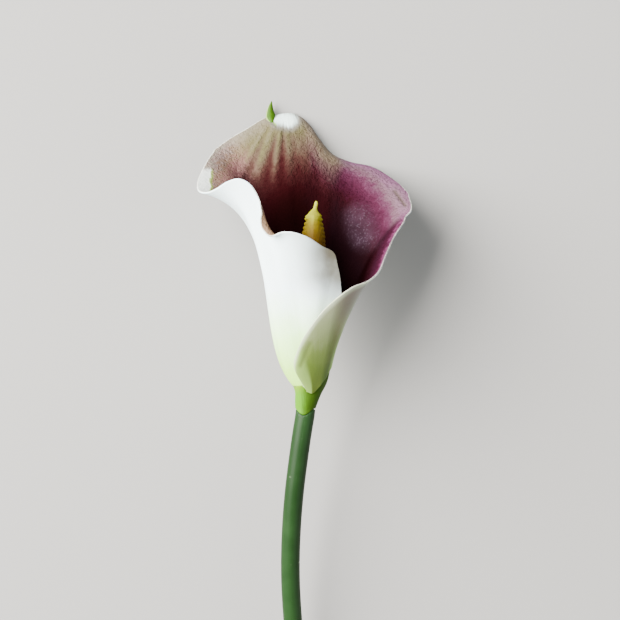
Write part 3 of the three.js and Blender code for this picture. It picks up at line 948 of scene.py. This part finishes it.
@dataclass(frozen=True)
class Foot:
    """The green sleeve at the bottom of the spathe, which clasps the stem."""

    # Height, radius and middle of its skin.
    skin: tuple[tuple[float, float, float], ...] = (
        (-3.4, 3.72, 0.1), (0, 4.4, 0.7), (2.8, 5.0, 1.3), (5.4, 6.1, 1.6),
        (8.2, 7.4, 1.3), (11.2, 8.5, 0.8), (13.6, 9.4, 0.6),
    )
    # Where the sheet leaves it, as turn and height: low in front, high on the right and at the back.
    line: tuple[tuple[float, float], ...] = (
        (-98, 3.4), (-78, 2.8), (-5, 12.2), (40, 12.6), (150, 9.5), (195, 5.3), (294, 5.2),
    )
    # How far the sheet's middle stands out of the skin there, as turn and distance.
    layer: tuple[tuple[float, float], ...] = (
        (-98, 0.15), (-28, 0.05), (30, -0.5), (200, -0.5), (258, -1.3), (294, -1.5),
    )
    bore: float = 3.0
    bore_drift: float = 1.0 / 14.0
    bore_start: float = -6.0
    floor: float = 7.5
    lip_height: float = -3.2
    lip_round: float = 0.35
    lip_chamfer: float = 0.3
    lip_angles: tuple[float, ...] = (60.0, 30.0, 0.0)
    tongue: float = 2.2
    tongue_turn: float = 262.0
    tongue_half_width: float = 75.0
    # How far the skin runs on under the sheet, and how much wider the bore's end is there.
    seat: float = 0.8
    floor_margin: float = 0.9
    columns: int = 160
    rows: int = 26
    fine_steps: int = 200

    def skin_point(self, turn: Array, height: Array, out: Union[Array, float] = 0.0) -> Array:
        """A point of the skin.

        Args:
            turn: where round the foot.
            height: how far up.
            out: how far out of the skin.

        Returns:
            The points.
        """
        fine = along(np.array(self.skin), np.linspace(0, len(self.skin) - 1, self.fine_steps))
        radius = np.interp(height, fine[:, 0], fine[:, 1])
        point = outward(turn) * (radius + out)[..., None]
        point[..., 0] += np.interp(height, fine[:, 0], fine[:, 2])
        point[..., 1] += height
        return point

    def bore_point(self, turn: Array, height: Array, radius: float) -> Array:
        """A point on the bore, or that far from its middle."""
        point = outward(turn) * radius
        point[..., 0] += (height - self.bore_start) * self.bore_drift
        point[..., 1] += height
        return point

    def vein_root(self, turn: Array) -> Array:
        """Where the middle of the sheet leaves the foot."""
        height, out = eased(np.array(self.line), turn), eased(np.array(self.layer), turn)
        return self.skin_point(turn, height, out)

    def lip(self, turn: Array) -> Array:
        """The height of the lower lip, which hangs in a tongue over the front of the stem."""
        away = np.abs(turn - self.tongue_turn) / self.tongue_half_width
        return self.lip_height - self.tongue * (1 - smooth(away, 0.0, 1.0))

    def build(self) -> bpy.types.Object:
        """Makes the foot."""
        turn = np.linspace(0, 360, self.columns, endpoint=False)
        wound = np.where(turn <= self.line[-1][0], turn, turn - 360)
        line, layer = eased(np.array(self.line), wound), eased(np.array(self.layer), wound)
        lip, small = self.lip(turn), self.lip_round
        # Round the lip from the bore, then the skin up to the sheet, and under it.
        rows = [self.bore_point(turn, lip + small, self.bore)]
        cut = small * self.lip_chamfer
        rows.append(self.bore_point(turn, lip + cut, self.bore + cut))
        for angle in np.radians(self.lip_angles):
            height = lip + small * (1 - np.sin(angle))
            rows.append(self.skin_point(turn, height, small * (np.cos(angle) - 1)))
        for share in np.linspace(0, 1, self.rows)[1:]:
            height = lip + small + (line - lip - small) * share
            rows.append(self.skin_point(turn, height))
        rows.append(self.skin_point(turn, line + self.seat, layer))
        floor = np.full_like(turn, self.floor)
        rows.append(self.bore_point(turn, floor, self.bore + self.floor_margin))
        rows.append(self.bore_point(turn, floor, self.bore))
        # The rows climb the outside and come down the bore, so each column closes on itself.
        faces = grid(self.columns, len(rows), True)
        points = np.array(rows).transpose(1, 0, 2).reshape(-1, 3)
        skin = Skin(points, [tuple(face) for face in faces], np.zeros(len(faces), int))
        return skin.piece("spathe_foot", [FootSkin().material()], Slot.SPATHE)


def rolled(points: Array, normals: Array, bends: Array) -> tuple[Array, Array]:
    """Rolls columns of points towards their normals.

    Args:
        points: the points, row by row from the fixed end.
        normals: the surface's normal at each.
        bends: how far the surface has turned at each, in radians.

    Returns:
        The points and their normals after rolling.
    """
    steps = np.diff(points, axis=0)
    between = unit(normals[1:] + normals[:-1])
    angles = (bends[1:] + bends[:-1])[..., None] / 2
    lengths = np.linalg.norm(steps, axis=-1, keepdims=True)
    turned = steps * np.cos(angles) + between * lengths * np.sin(angles)
    climb = unit(np.gradient(points, axis=0))
    moved = np.vstack([points[:1], points[0] + np.cumsum(turned, axis=0)])
    return moved, normals * np.cos(bends)[..., None] - climb * np.sin(bends)[..., None]


@dataclass(frozen=True)
class Sheet:
    """The white and purple sheet of the spathe, swept round the funnel by its veins."""

    foot: Foot
    thickness_at_foot: float = 1.1
    thickness_at_rim: float = 0.7
    vein_tilt: float = 28.0
    vein_tilt_side: float = 17.0
    vein_spring: float = 20.0
    short_vein_spring: float = 0.3
    axis_z: float = -4.0
    axis_drift: float = 3.2
    axis_drift_height: float = 40.0
    axis_stop_height: float = 64.0
    axis_drift_power: float = 1.5
    # Steps in station and in share that a normal is measured over.
    normal_step: float = 0.004
    # Columns of points to a station, where the sheet is pleated and elsewhere.
    pleated_stations: tuple[int, int] = (19, 27)
    pleated_columns: int = 14
    columns: int = 8
    rows: int = 98
    bead_rows: int = 5
    bead_end: float = 82.0
    crowding: float = 1.15
    # The pleats fan out from here. Each is an angle and how far it stands out.
    fan: tuple[float, float] = (-7.4, 117.0)
    pleats: tuple[tuple[float, float], ...] = (
        (-37, 0.0), (-33, -0.12), (-29, 0.26), (-25.3, -0.32), (-19, 0.4), (-12.5, -0.44),
        (-7.7, 0.36), (-2.9, -0.44), (2.6, 0.26), (8, -0.1), (14, 0.05), (20, 0.0),
    )
    pleat_reach: tuple[float, float, float, float] = (13.0, 20.0, 28.0, 42.0)
    # Turns between which the pleats are full, and between which they fade out, and the same for
    # the streaks that fan out with them.
    pleat_turns: tuple[float, float, float, float] = (55.0, 65.0, 150.0, 175.0)
    fanned_turns: tuple[float, float, float, float] = (60.0, 85.0, 160.0, 190.0)
    # The lip's left end rolls outwards: the stations between which it grows and fades, its reach
    # and its angle.
    lip_roll: tuple[float, float, float, float] = (37.9, 39.1, 39.7, 41.3)
    lip_roll_reach: float = 4.0
    lip_roll_angle: float = 88.0
    # Small unevenness of the rim: station, half-width in stations, and height.
    nicks: tuple[tuple[float, float, float], ...] = (
        (13.55, 0.4, -0.9), (15.5, 0.35, 0.4), (22.38, 0.2, 0.8), (22.8, 0.15, -0.3), (23.1, 0.2, 0.3),
        (24.2, 0.3, -0.5), (27.92, 0.12, 0.5), (28.2, 0.2, -0.2),
    )
    nick_reach: float = 4.0
    # Ends of the crease beside the horn, of the tuck in the right tip and of the flap's groove,
    # their widths, and how far each lifts the sheet.
    crease: Segment = ((-14.1, 107.3), (-11.2, 104.0))
    crease_width: float = 0.55
    crease_lift: float = 0.3
    tuck: Segment = ((33.8, 77.5), (37.4, 72.0))
    tuck_width: float = 1.1
    tuck_lift: float = 0.35
    tuck_reach: float = 4.5
    tuck_side_lift: float = -0.15
    groove: Segment = ((-1.5, 13.2), (1.9, 21.2))
    groove_width: float = 1.5
    groove_lift: float = -0.12
    # The back's markings lie beyond this turn, the right tip's before it; the flap lies before its own.
    back_from: float = 60.0
    flap_until: float = -60.0
    # The throat's line, from which the inside brightens to the rim.
    throat: Segment = ((-3.5, 67.0), (14.5, 43.0))
    least_mm: float = 0.01
    gather: Segment = ((-9.0, 106.6), (-6.2, 105.9))
    gather_reach: float = 6.6
    # Where the painted sheen and its glints lie, and how far they reach.
    waxy: Segment = ((20.5, 67.5), (22.5, 61.0))
    painted_sheen_reach: float = 8.5
    # The shaded strip of the front beside its free edge, its reach and where it is deepest.
    lip_shade: Segment = ((12.0, 54.0), (12.5, 46.0))
    lip_shade_reach: tuple[float, float] = (23.0, 1.0)
    lip_shade_turns: tuple[float, float] = (236.0, 252.0)
    lip_shade_heights: tuple[float, float] = (33.0, 47.0)
    # The foot's green runs up the left side behind the front.
    clasp_turns: tuple[float, float, float] = (120.0, 170.0, 196.0)
    clasp_heights: tuple[float, float] = (14.0, 7.0)

    def tilt(self, turn: Array) -> Array:
        """How far a vein tilts outwards at the foot, in radians."""
        right = np.cos(np.radians(turn))
        return np.radians(self.vein_tilt - self.vein_tilt_side * np.where(right > 0, right, right**3))

    def middle(self, station: Array, share: Array) -> Array:
        """The middle of the sheet before it is pleated.

        Args:
            station: the place along the rim.
            share: the place along the vein, from 0 at the foot to 1 at the rim.

        Returns:
            The points.
        """
        row = along(RIM, station)
        rim, turn, lean, reach = row[..., :3], row[..., 3], np.radians(row[..., 4]), row[..., 5]
        root = self.foot.vein_root(turn)
        length = np.linalg.norm(rim - root, axis=-1)
        spring = np.minimum(self.vein_spring, length * self.short_vein_spring)
        tilt = self.tilt(turn)
        start = outward(turn) * np.sin(tilt)[..., None]
        start[..., 1] = np.cos(tilt)
        climb = np.clip(rim[..., 1], 0, self.axis_stop_height) / self.axis_drift_height
        drift = self.axis_drift * climb**self.axis_drift_power
        away = np.stack([rim[..., 0] - drift, np.zeros_like(climb), rim[..., 2] - self.axis_z], -1)
        end = unit(away) * np.sin(lean)[..., None]
        end[..., 1] = np.cos(lean)
        near_root = root + start * spring[..., None]
        near_rim = rim - end * (length * reach)[..., None]
        s = share[..., None]
        low = (1 - s) ** 3 * root + 3 * s * (1 - s) ** 2 * near_root
        return low + 3 * s**2 * (1 - s) * near_rim + s**3 * rim

    def rim_pace(self, station: Array) -> Array:
        """How many millimetres a whole share would cover at the pace of the vein's end."""
        row = along(RIM, station)
        length = np.linalg.norm(row[..., :3] - self.foot.vein_root(row[..., 3]), axis=-1)
        return 3 * length * row[..., 5]

    def pleat(self, points: Array, turn: Array) -> tuple[Array, Array, Array]:
        """How the sheet is pleated at points.

        Args:
            points: points of the sheet.
            turn: the turn of the vein through each.

        Returns:
            The lift, and the angle and the distance from where the pleats fan out.
        """
        dx, dy = points[..., 0] - self.fan[0], self.fan[1] - points[..., 1]
        angle, distance = np.degrees(np.arctan2(dx, dy)), np.hypot(dx, dy)
        near, full, fade, far = self.pleat_reach
        there = smooth(distance, near, full) * smooth(distance, far, fade)
        there = there * window(turn, self.pleat_turns)
        return eased(np.array(self.pleats), angle) * there, angle, distance

    def nick(self, station: Array, rim_mm: Array) -> Array:
        """How far the rim's unevenness carries points up their veins."""
        height = sum(high * smooth(np.abs(station - at), half, 0.0) for at, half, high in self.nicks)
        return height * smooth(rim_mm, self.nick_reach, 0.0)

    def stations(self) -> Array:
        """The rim stations that have a column of points."""
        found = []
        for station in range(len(RIM) - 1):
            pleated = self.pleated_stations[0] <= station < self.pleated_stations[1]
            columns = self.pleated_columns if pleated else self.columns
            found += [station + column / columns for column in range(columns)]
        return np.array([*found, len(RIM) - 1.0])

    def grid_places(self) -> tuple[Array, Array, Array]:
        """The station, the share of the vein and the half thickness at each point of the sheet."""
        stations = self.stations()
        half_rim = self.thickness_at_rim / 2
        pace = self.rim_pace(stations)
        body = 1 - (1 - np.linspace(0, 1, self.rows)) ** self.crowding
        angles = np.radians(np.linspace(0, self.bead_end, self.bead_rows + 1)[1:])
        below = body[:, None] * (1 - half_rim / pace)
        share = np.vstack([below, 1 - np.outer(1 - np.sin(angles), half_rim / pace)])
        half = (self.thickness_at_foot + (self.thickness_at_rim - self.thickness_at_foot) * share) / 2
        half[self.rows:] *= np.cos(angles)[:, None]
        return np.broadcast_to(stations, share.shape), share, half

    def normals(self, station: Array, share: Array) -> tuple[Array, Array]:
        """The sheet's outward normal before it is pleated, and the way up each vein."""
        step, last = self.normal_step, len(RIM) - 1.0
        after, before = np.minimum(station + step, last), np.maximum(station - step, 0)
        above, below = np.minimum(share + step, 1), np.maximum(share - step, 0)
        round_it = self.middle(after, share) - self.middle(before, share)
        rise = self.middle(station, above) - self.middle(station, below)
        return unit(np.cross(round_it, rise)), unit(rise)

    def markings(self, points: Array, turn: Array) -> dict[str, Array]:
        """How strongly each marking lies on the sheet.

        Args:
            points: points of the sheet before it is pleated.
            turn: the turn of the vein through each.

        Returns:
            A number from 0 to 1 for each point, by name.
        """
        height, on_back = points[..., 1], turn > self.back_from
        on_tip, on_flap = turn < self.back_from, turn < self.flap_until
        tuck_mm = from_segment(points, *self.tuck)
        first, low, clasp_end = self.clasp_turns
        clasp = smooth(turn, first, low) * smooth(turn, clasp_end, low)
        lip_shade = smooth(from_segment(points, *self.lip_shade), *self.lip_shade_reach)
        lip_shade = lip_shade * smooth(turn, *self.lip_shade_turns)
        return {
            "fanned": window(turn, self.fanned_turns),
            "crease": smooth(from_segment(points, *self.crease), self.crease_width, 0.0) * on_back,
            "tuck": smooth(tuck_mm, self.tuck_width, 0.0) * on_tip,
            "tuck_side": smooth(tuck_mm, self.tuck_reach, 0.0) * on_tip,
            "groove": smooth(from_segment(points, *self.groove), self.groove_width, 0.0) * on_flap,
            "clasp": clasp * smooth(height, *self.clasp_heights),
            "lip_shade": lip_shade * smooth(height, *self.lip_shade_heights),
            "gather": smooth(from_segment(points, *self.gather), self.gather_reach, 0.0) * on_back,
            "waxy": smooth(from_segment(points, *self.waxy), self.painted_sheen_reach, 0.0),
        }

    def surface(self, station: Array, share: Array) -> tuple[Array, Array, dict[str, Array]]:
        """The sheet's middle, its outward normal and what its finishes read.

        Args:
            station: the place along the rim of each point.
            share: its place along the vein.

        Returns:
            The points, the normals, and the readings by name.
        """
        normal, rise = self.normals(station, share)
        points = self.middle(station, share)
        turn = along(RIM, station)[..., 3]
        steps = np.linalg.norm(np.diff(points, axis=0), axis=-1)
        vein_mm = np.vstack([np.zeros_like(turn[:1]), np.cumsum(steps, axis=0)])
        rim_mm = vein_mm[-1] - vein_mm
        from_throat = from_segment(points, *self.throat)
        lift, fan_angle, fan_mm = self.pleat(points, turn)
        marks = self.markings(points, turn)
        readings = {
            "turn": turn,
            "vein_mm": vein_mm,
            "rim_mm": rim_mm,
            "opening": from_throat / (from_throat + rim_mm + self.least_mm),
            "pleat": lift,
            "fan_angle": fan_angle,
            "fan_mm": fan_mm,
            **marks,
        }
        push = self.crease_lift * marks["crease"] + self.tuck_lift * marks["tuck"] - lift
        push = push + self.tuck_side_lift * marks["tuck_side"] + self.groove_lift * marks["groove"]
        points = points + normal * push[..., None] + rise * self.nick(station, rim_mm)[..., None]
        near = np.clip(1 - rim_mm / self.lip_roll_reach, 0, 1)
        bends = np.radians(self.lip_roll_angle) * window(station, self.lip_roll) * near
        points, normal = rolled(points, normal, bends)
        return points, normal, readings

    def build(self) -> bpy.types.Object:
        """Makes the sheet: an outer and an inner face, with a round edge along the rim."""
        station, share, half = self.grid_places()
        points, normal, readings = self.surface(station, share)
        outer, inner = points + normal * half[..., None], points - normal * half[..., None]
        for face in (outer, inner):
            face[..., 2] = np.maximum(face[..., 2], TABLE_Z)
        rows, columns = share.shape
        faces = grid(rows, columns)
        count = rows * columns
        numbers = np.arange(count).reshape(rows, columns)
        there, back = [numbers[0, :-1], numbers[:-1, -1]], [numbers[-1, :0:-1], numbers[:0:-1, 0]]
        loop = np.concatenate(there + back)
        after = np.roll(loop, -1)
        edge = np.stack([after, loop, loop + count, after + count], axis=-1)
        every = np.vstack([faces, faces[:, ::-1] + count, edge])
        sides = np.full(len(every), Side.OUTSIDE.value)
        sides[len(faces) : 2 * len(faces)] = Side.INSIDE.value
        held = {name: np.tile(values.ravel(), 2) for name, values in readings.items()}
        points = np.vstack([outer.reshape(-1, 3), inner.reshape(-1, 3)])
        skin = Skin(points, [tuple(face) for face in every], sides, held)
        finishes = [SpatheOutside().material(), SpatheInside().material()]
        return skin.piece("spathe_sheet", finishes, Slot.SPATHE)


@dataclass(frozen=True)
class Horn:
    """The hard green end of the spathe's midrib."""

    path: tuple[tuple[float, float, float], ...] = (
        (-12.6, 104.8, -31.7), (-13.2, 107.2, -33.5),
        (-13.4, 110.0, -33.4), (-12.9, 113.4, -32.8),
    )
    radii: tuple[float, ...] = (0.7, 1.9, 1.3, 0.2)
    sides: int = 32
    rings: int = 40

    def build(self) -> bpy.types.Object:
        """Makes the horn."""
        places = np.linspace(0, len(self.path) - 1, self.rings)
        middles = along(np.array(self.path), places)
        tangents = unit(np.gradient(middles, axis=0))
        radius = along(np.array(self.radii)[:, None], places)
        radii = np.broadcast_to(radius, (self.rings, self.sides))
        across = np.sin(np.linspace(0, 2 * np.pi, self.sides, endpoint=False))
        readings = {"side": np.broadcast_to(across, radii.shape)}
        skin = Skin.around(tube(middles, tangents, radii), readings)
        return skin.piece("spathe_horn", [HornSkin().material()], Slot.SPATHE)


@dataclass(frozen=True)
class Spadix:
    """The spike of close-set florets, ridged in front, with a bare thin tip that bends to the right."""

    base: tuple[float, float, float] = (1.0, 7.75, 0.0)
    tip: tuple[float, float, float] = (3.6, 73.7, -3.0)
    tip_bend: float = 0.6
    profile: tuple[tuple[float, float], ...] = (
        (0, 3.3), (0.06, 3.5), (0.25, 4.25), (0.48, 4.8), (0.64, 4.85), (0.75, 4.5),
        (0.81, 4.15), (0.86, 3.5), (0.89, 2.95), (0.91, 3.0), (0.925, 2.5), (0.94, 1.6),
        (0.952, 0.95), (0.965, 0.7), (0.99, 0.65), (1, 0.3),
    )
    shoulder: float = 0.925
    # How far past the shoulder the last florets stand, and how far before it the rows are full.
    florets_end: tuple[float, float] = (0.004, 0.012)
    florets_round: int = 18
    floret_pitch: float = 1.6
    floret_height: float = 0.5
    floret_spread: float = 0.66
    floret_middle: float = 0.45
    floret_jitter: float = 0.13
    floret_run: float = 80.0
    floret_least_radius: float = 1.0
    seed: int = 7
    # Each ring of florets is turned from the one below by this share of a floret.
    floret_twist: float = 0.382
    # Their height in front, where the ridge is, and the turns from it at which they grow to full.
    front_height: float = 0.12
    front_turns: tuple[float, float] = (25.0, 80.0)
    ridge: float = 0.8
    ridge_half_width: float = 55.0
    # A small knob under the tip: its share of the length, its turn, its height and its reach.
    knob: tuple[float, float, float, float] = (0.905, 283.0, 0.55, 1.3)
    sides: int = 150
    rings: int = 420
    rings_smoothed: int = 7

    def florets(self, angle: Array, run: Array, radius: Array) -> Array:
        """How high the florets stand at points, from 0 between them to 1 on their tops.

        Args:
            angle: where round the spadix, in radians.
            run: how far up it.
            radius: its radius there.

        Returns:
            The heights.
        """
        rng = np.random.default_rng(self.seed)
        count = int(self.floret_run / self.floret_pitch)
        spots = (count, self.florets_round, 2)
        jitter = rng.uniform(-self.floret_jitter, self.floret_jitter, spots)
        spread = 2 * np.pi * radius / self.florets_round * self.floret_spread
        height = np.zeros_like(angle)
        spacing = 2 * np.pi / self.florets_round
        nearest = np.round(run / self.floret_pitch).astype(int)
        for row in (nearest - 1, nearest, nearest + 1):
            row = np.clip(row, 0, count - 1)
            offset = row * self.floret_twist % 1
            number = np.round(angle / spacing - offset).astype(int)
            moved = jitter[row, number % self.florets_round]
            around = (angle - (number + offset + moved[..., 0]) * spacing) * radius
            up = run - (row + moved[..., 1]) * self.floret_pitch
            dome = np.clip(1 - (around**2 + up**2) / spread**2, 0, 1)
            height = np.maximum(height, dome)
        return height

    def build(self) -> bpy.types.Object:
        """Makes the spadix."""
        base, tip = np.array(self.base), np.array(self.tip)
        length = np.linalg.norm(tip - base)
        share = np.linspace(0, 1, self.rings)
        middles = base + (tip - base) * share[:, None]
        middles[:, 0] += self.tip_bend * smooth(share, self.shoulder, 1.0)
        tangents = unit(np.gradient(middles, axis=0))
        fine = np.array(self.profile)
        radius = np.interp(share, fine[:, 0], fine[:, 1])
        weights = np.hanning(self.rings_smoothed)
        padded = np.pad(radius, self.rings_smoothed // 2, mode="edge")
        radius = np.convolve(padded, weights / weights.sum(), mode="valid")
        angle = np.linspace(0, 2 * np.pi, self.sides, endpoint=False)
        angles, runs = np.meshgrid(angle, share * length)
        radii = np.broadcast_to(radius[:, None], angles.shape)
        florets = self.florets(angles, runs, np.maximum(radii, self.floret_least_radius))
        past, before = self.florets_end
        clothed = smooth(share, self.shoulder + past, self.shoulder - before)[:, None]
        turned = np.degrees(np.minimum(angles, 2 * np.pi - angles))
        ridge = self.ridge * np.maximum(1 - turned / self.ridge_half_width, 0)
        tall = self.front_height + (1 - self.front_height) * smooth(turned, *self.front_turns)
        at, knob_turn, knob_height, knob_reach = self.knob
        beside = np.radians(np.degrees(angles) - knob_turn) * radii
        knob = knob_height * smooth(np.hypot((share[:, None] - at) * length, beside), knob_reach, 0.0)
        domes = (florets - self.floret_middle) * self.floret_height * tall
        lift = (domes + ridge) * clothed + knob
        readings = {"floret": 1 - (1 - florets) * clothed * tall}
        skin = Skin.around(tube(middles, tangents, radii + lift), readings)
        return skin.piece("spadix_spike", [SpadixSkin().material()], Slot.SPADIX)


@dataclass(frozen=True)
class Stem:
    """The stem, from the seat of the spadix inside the foot to its cut end on the surface."""

    foot: Foot
    path: tuple[tuple[float, float, float], ...] = (
        (0.95, 7.4, 0), (0.5, 1, 0), (0.07, -5, 0), (-0.9, -11.1, -0.7), (-2.0, -18.6, -1.7),
        (-3.9, -33.6, -4.2), (-5.1, -48.8, -7.8), (-5.5, -64.2, -12.0), (-4.9, -79.7, -16.4),
        (-3.0, -103, -22.8), (0.2, -131, -28.8), (4.0, -158, -32.2), (7.2, -178, -33.0),
        (9.8, -194, -33.0),
    )
    radius: float = 3.6
    radius_at_cut: float = 3.45
    neck_radius: float = 2.65
    neck_length: float = 14.5
    shoulder_gap: float = 0.06
    shoulder_round: float = 0.2
    cut_slant: float = 0.35
    cut_hollow: float = 0.35
    cut_rings: tuple[float, ...] = (0.97, 0.85, 0.7, 0.5, 0.3, 0.12)
    # Below this height the stem is clear of the foot.
    clear_height: float = -9.0
    sides: int = 72
    rings: int = 420
    fine_steps: int = 2000

    def build(self) -> bpy.types.Object:
        """Makes the stem and its cut end."""
        fine = along(np.array(self.path), np.linspace(0, len(self.path) - 1, self.fine_steps))
        run = np.concatenate([[0], np.cumsum(np.linalg.norm(np.diff(fine, axis=0), axis=1))])
        runs = np.linspace(0, run[-1], self.rings)
        middles = np.stack([np.interp(runs, run, fine[:, k]) for k in range(3)], axis=1)
        tangents = unit(np.gradient(middles, axis=0))
        body = np.clip((runs - self.neck_length) / (run[-1] - self.neck_length), 0, 1)
        radius = self.radius + (self.radius_at_cut - self.radius) * body
        shape = (self.rings, self.sides)
        points = tube(middles, tangents, np.broadcast_to(radius[:, None], shape))
        # Inside the foot the stem is slimmer, down to a shoulder just below the foot's lip.
        turn = np.degrees(np.arctan2(-points[..., 2], points[..., 0])) % 360
        below = self.foot.lip(turn) - self.shoulder_gap - points[..., 1]
        share = np.sqrt(np.clip(1 - (1 - np.clip(below / self.shoulder_round, 0, 1)) ** 2, 0, 1))
        inside = (points[..., 1] > self.clear_height)[..., None]
        slim = middles[:, None] + (points - middles[:, None]) * (self.neck_radius / self.radius)
        points = np.where(inside, slim + (points - slim) * share[..., None], points)
        points[-1, :, 1] -= self.cut_slant * (points[-1, :, 0] - middles[-1, 0])
        points[..., 2] = np.maximum(points[..., 2], TABLE_Z)
        angles = np.linspace(0, 2 * np.pi, self.sides, endpoint=False)
        around = np.broadcast_to(np.cos(angles / 2), shape)
        # The cut end, a little hollow, ring by ring to its middle.
        middle = points[-1].mean(axis=0)
        inner = []
        for size in self.cut_rings:
            ring = middle + (points[-1] - middle) * size
            inner.append(ring - tangents[-1] * self.cut_hollow * (1 - size**2))
        rings = np.concatenate([points, np.array(inner)])
        sizes = np.concatenate([np.ones(self.rings), self.cut_rings])
        runs = np.concatenate([runs, np.full(len(inner), runs[-1])])
        readings = {
            "around": np.vstack([around, np.repeat(around[-1:], len(inner), axis=0)]),
            "run_mm": np.repeat(runs[:, None], self.sides, 1),
            "from_middle": np.repeat(sizes[:, None], self.sides, 1),
        }
        skin = Skin.around(rings, readings)
        skin.finishes[(self.rings - 1) * self.sides : -2 * self.sides] = 1
        skin.finishes[-2 * self.sides + 1 :: 2] = 1
        return skin.piece("bent_stem", [StemSkin().material(), CutSkin().material()], Slot.STEM)


@dataclass(frozen=True)
class Lamp:
    """A square soft lamp: where it hangs and its side in metres, its watts and its colour."""

    name: str
    place: tuple[float, float, float]
    side: float
    power: float
    colour: Colour

    def build(self, target: Sequence[float]) -> None:
        """Hangs the lamp, facing a point given in metres."""
        data = bpy.data.lights.new(self.name, "AREA")
        data.size, data.energy, data.color = self.side, self.power, self.colour
        made = bpy.data.objects.new(self.name, data)
        made.location = self.place
        towards = Vector(target) - made.location
        made.rotation_euler = towards.to_track_quat("-Z", "Y").to_euler()
        bpy.context.scene.collection.objects.link(made)


@dataclass(frozen=True)
class Studio:
    """The floor, the lamps and the camera, which looks straight down."""

    distance: float = 0.9
    frame_width: float = 0.2294
    sensor: float = 36.0
    aim: tuple[float, float] = (1.85, 33.3)
    clip: tuple[float, float] = (0.05, 20.0)
    floor_size: float = 8.0
    # The floor lies this far under the flower, in millimetres, so that the two don't share a plane.
    floor_drop: float = 0.05
    key: Lamp = Lamp("key", (-1.2, 0.5, 1.1), 1.7, 360.0, (1.0, 0.985, 0.96))
    fill: Lamp = Lamp("fill", (1.3, -0.3, 1.1), 1.6, 20.0, (1.0, 0.99, 0.98))
    lamp_target: tuple[float, float, float] = (0.0, 0.06, 0.0)
    room_strength: float = 0.7
    room_colour: Colour = (0.93, 0.96, 1.0)

    def camera(self) -> None:
        """Sets the camera over the bloom."""
        data = bpy.data.cameras.new("camera")
        data.sensor_width = self.sensor
        data.lens = self.sensor * self.distance / self.frame_width
        data.clip_start, data.clip_end = self.clip
        made = bpy.data.objects.new("camera", data)
        made.location = (*((np.array(self.aim) + NECK[:2]) * MM), NECK[2] * MM + self.distance)
        bpy.context.scene.collection.objects.link(made)
        bpy.context.scene.camera = made

    def world(self) -> None:
        """Fills the room with even light."""
        world = bpy.data.worlds.new("studio")
        world.use_nodes = True
        background = world.node_tree.nodes["Background"]
        background.inputs["Color"].default_value = (*self.room_colour, 1.0)
        background.inputs["Strength"].default_value = self.room_strength
        bpy.context.scene.world = world

    def build(self) -> None:
        """Makes the whole studio."""
        half = self.floor_size / 2
        corners = [(-half, -half, 0), (half, -half, 0), (half, half, 0), (-half, half, 0)]
        mesh = bpy.data.meshes.new("floor")
        mesh.from_pydata(corners, [], [(0, 1, 2, 3)])
        mesh.materials.append(FloorFinish().material())
        floor = bpy.data.objects.new("floor", mesh)
        floor.location.z = -self.floor_drop * MM
        bpy.context.scene.collection.objects.link(floor)
        for lamp in (self.key, self.fill):
            lamp.build(self.lamp_target)
        self.world()
        self.camera()


def main() -> None:
    """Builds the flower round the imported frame, and the studio round the flower."""
    logging.basicConfig(level=logging.INFO, format="%(name)s: %(message)s")
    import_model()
    foot = Foot()
    spathe = [Sheet(foot).build(), foot.build(), Horn().build()]
    for piece in spathe:
        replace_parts(piece, "spathe")
    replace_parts(Spadix().build(), "spadix")
    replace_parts(Stem(foot).build(), "stem")
    Studio().build()


if __name__ == "__main__":
    main()
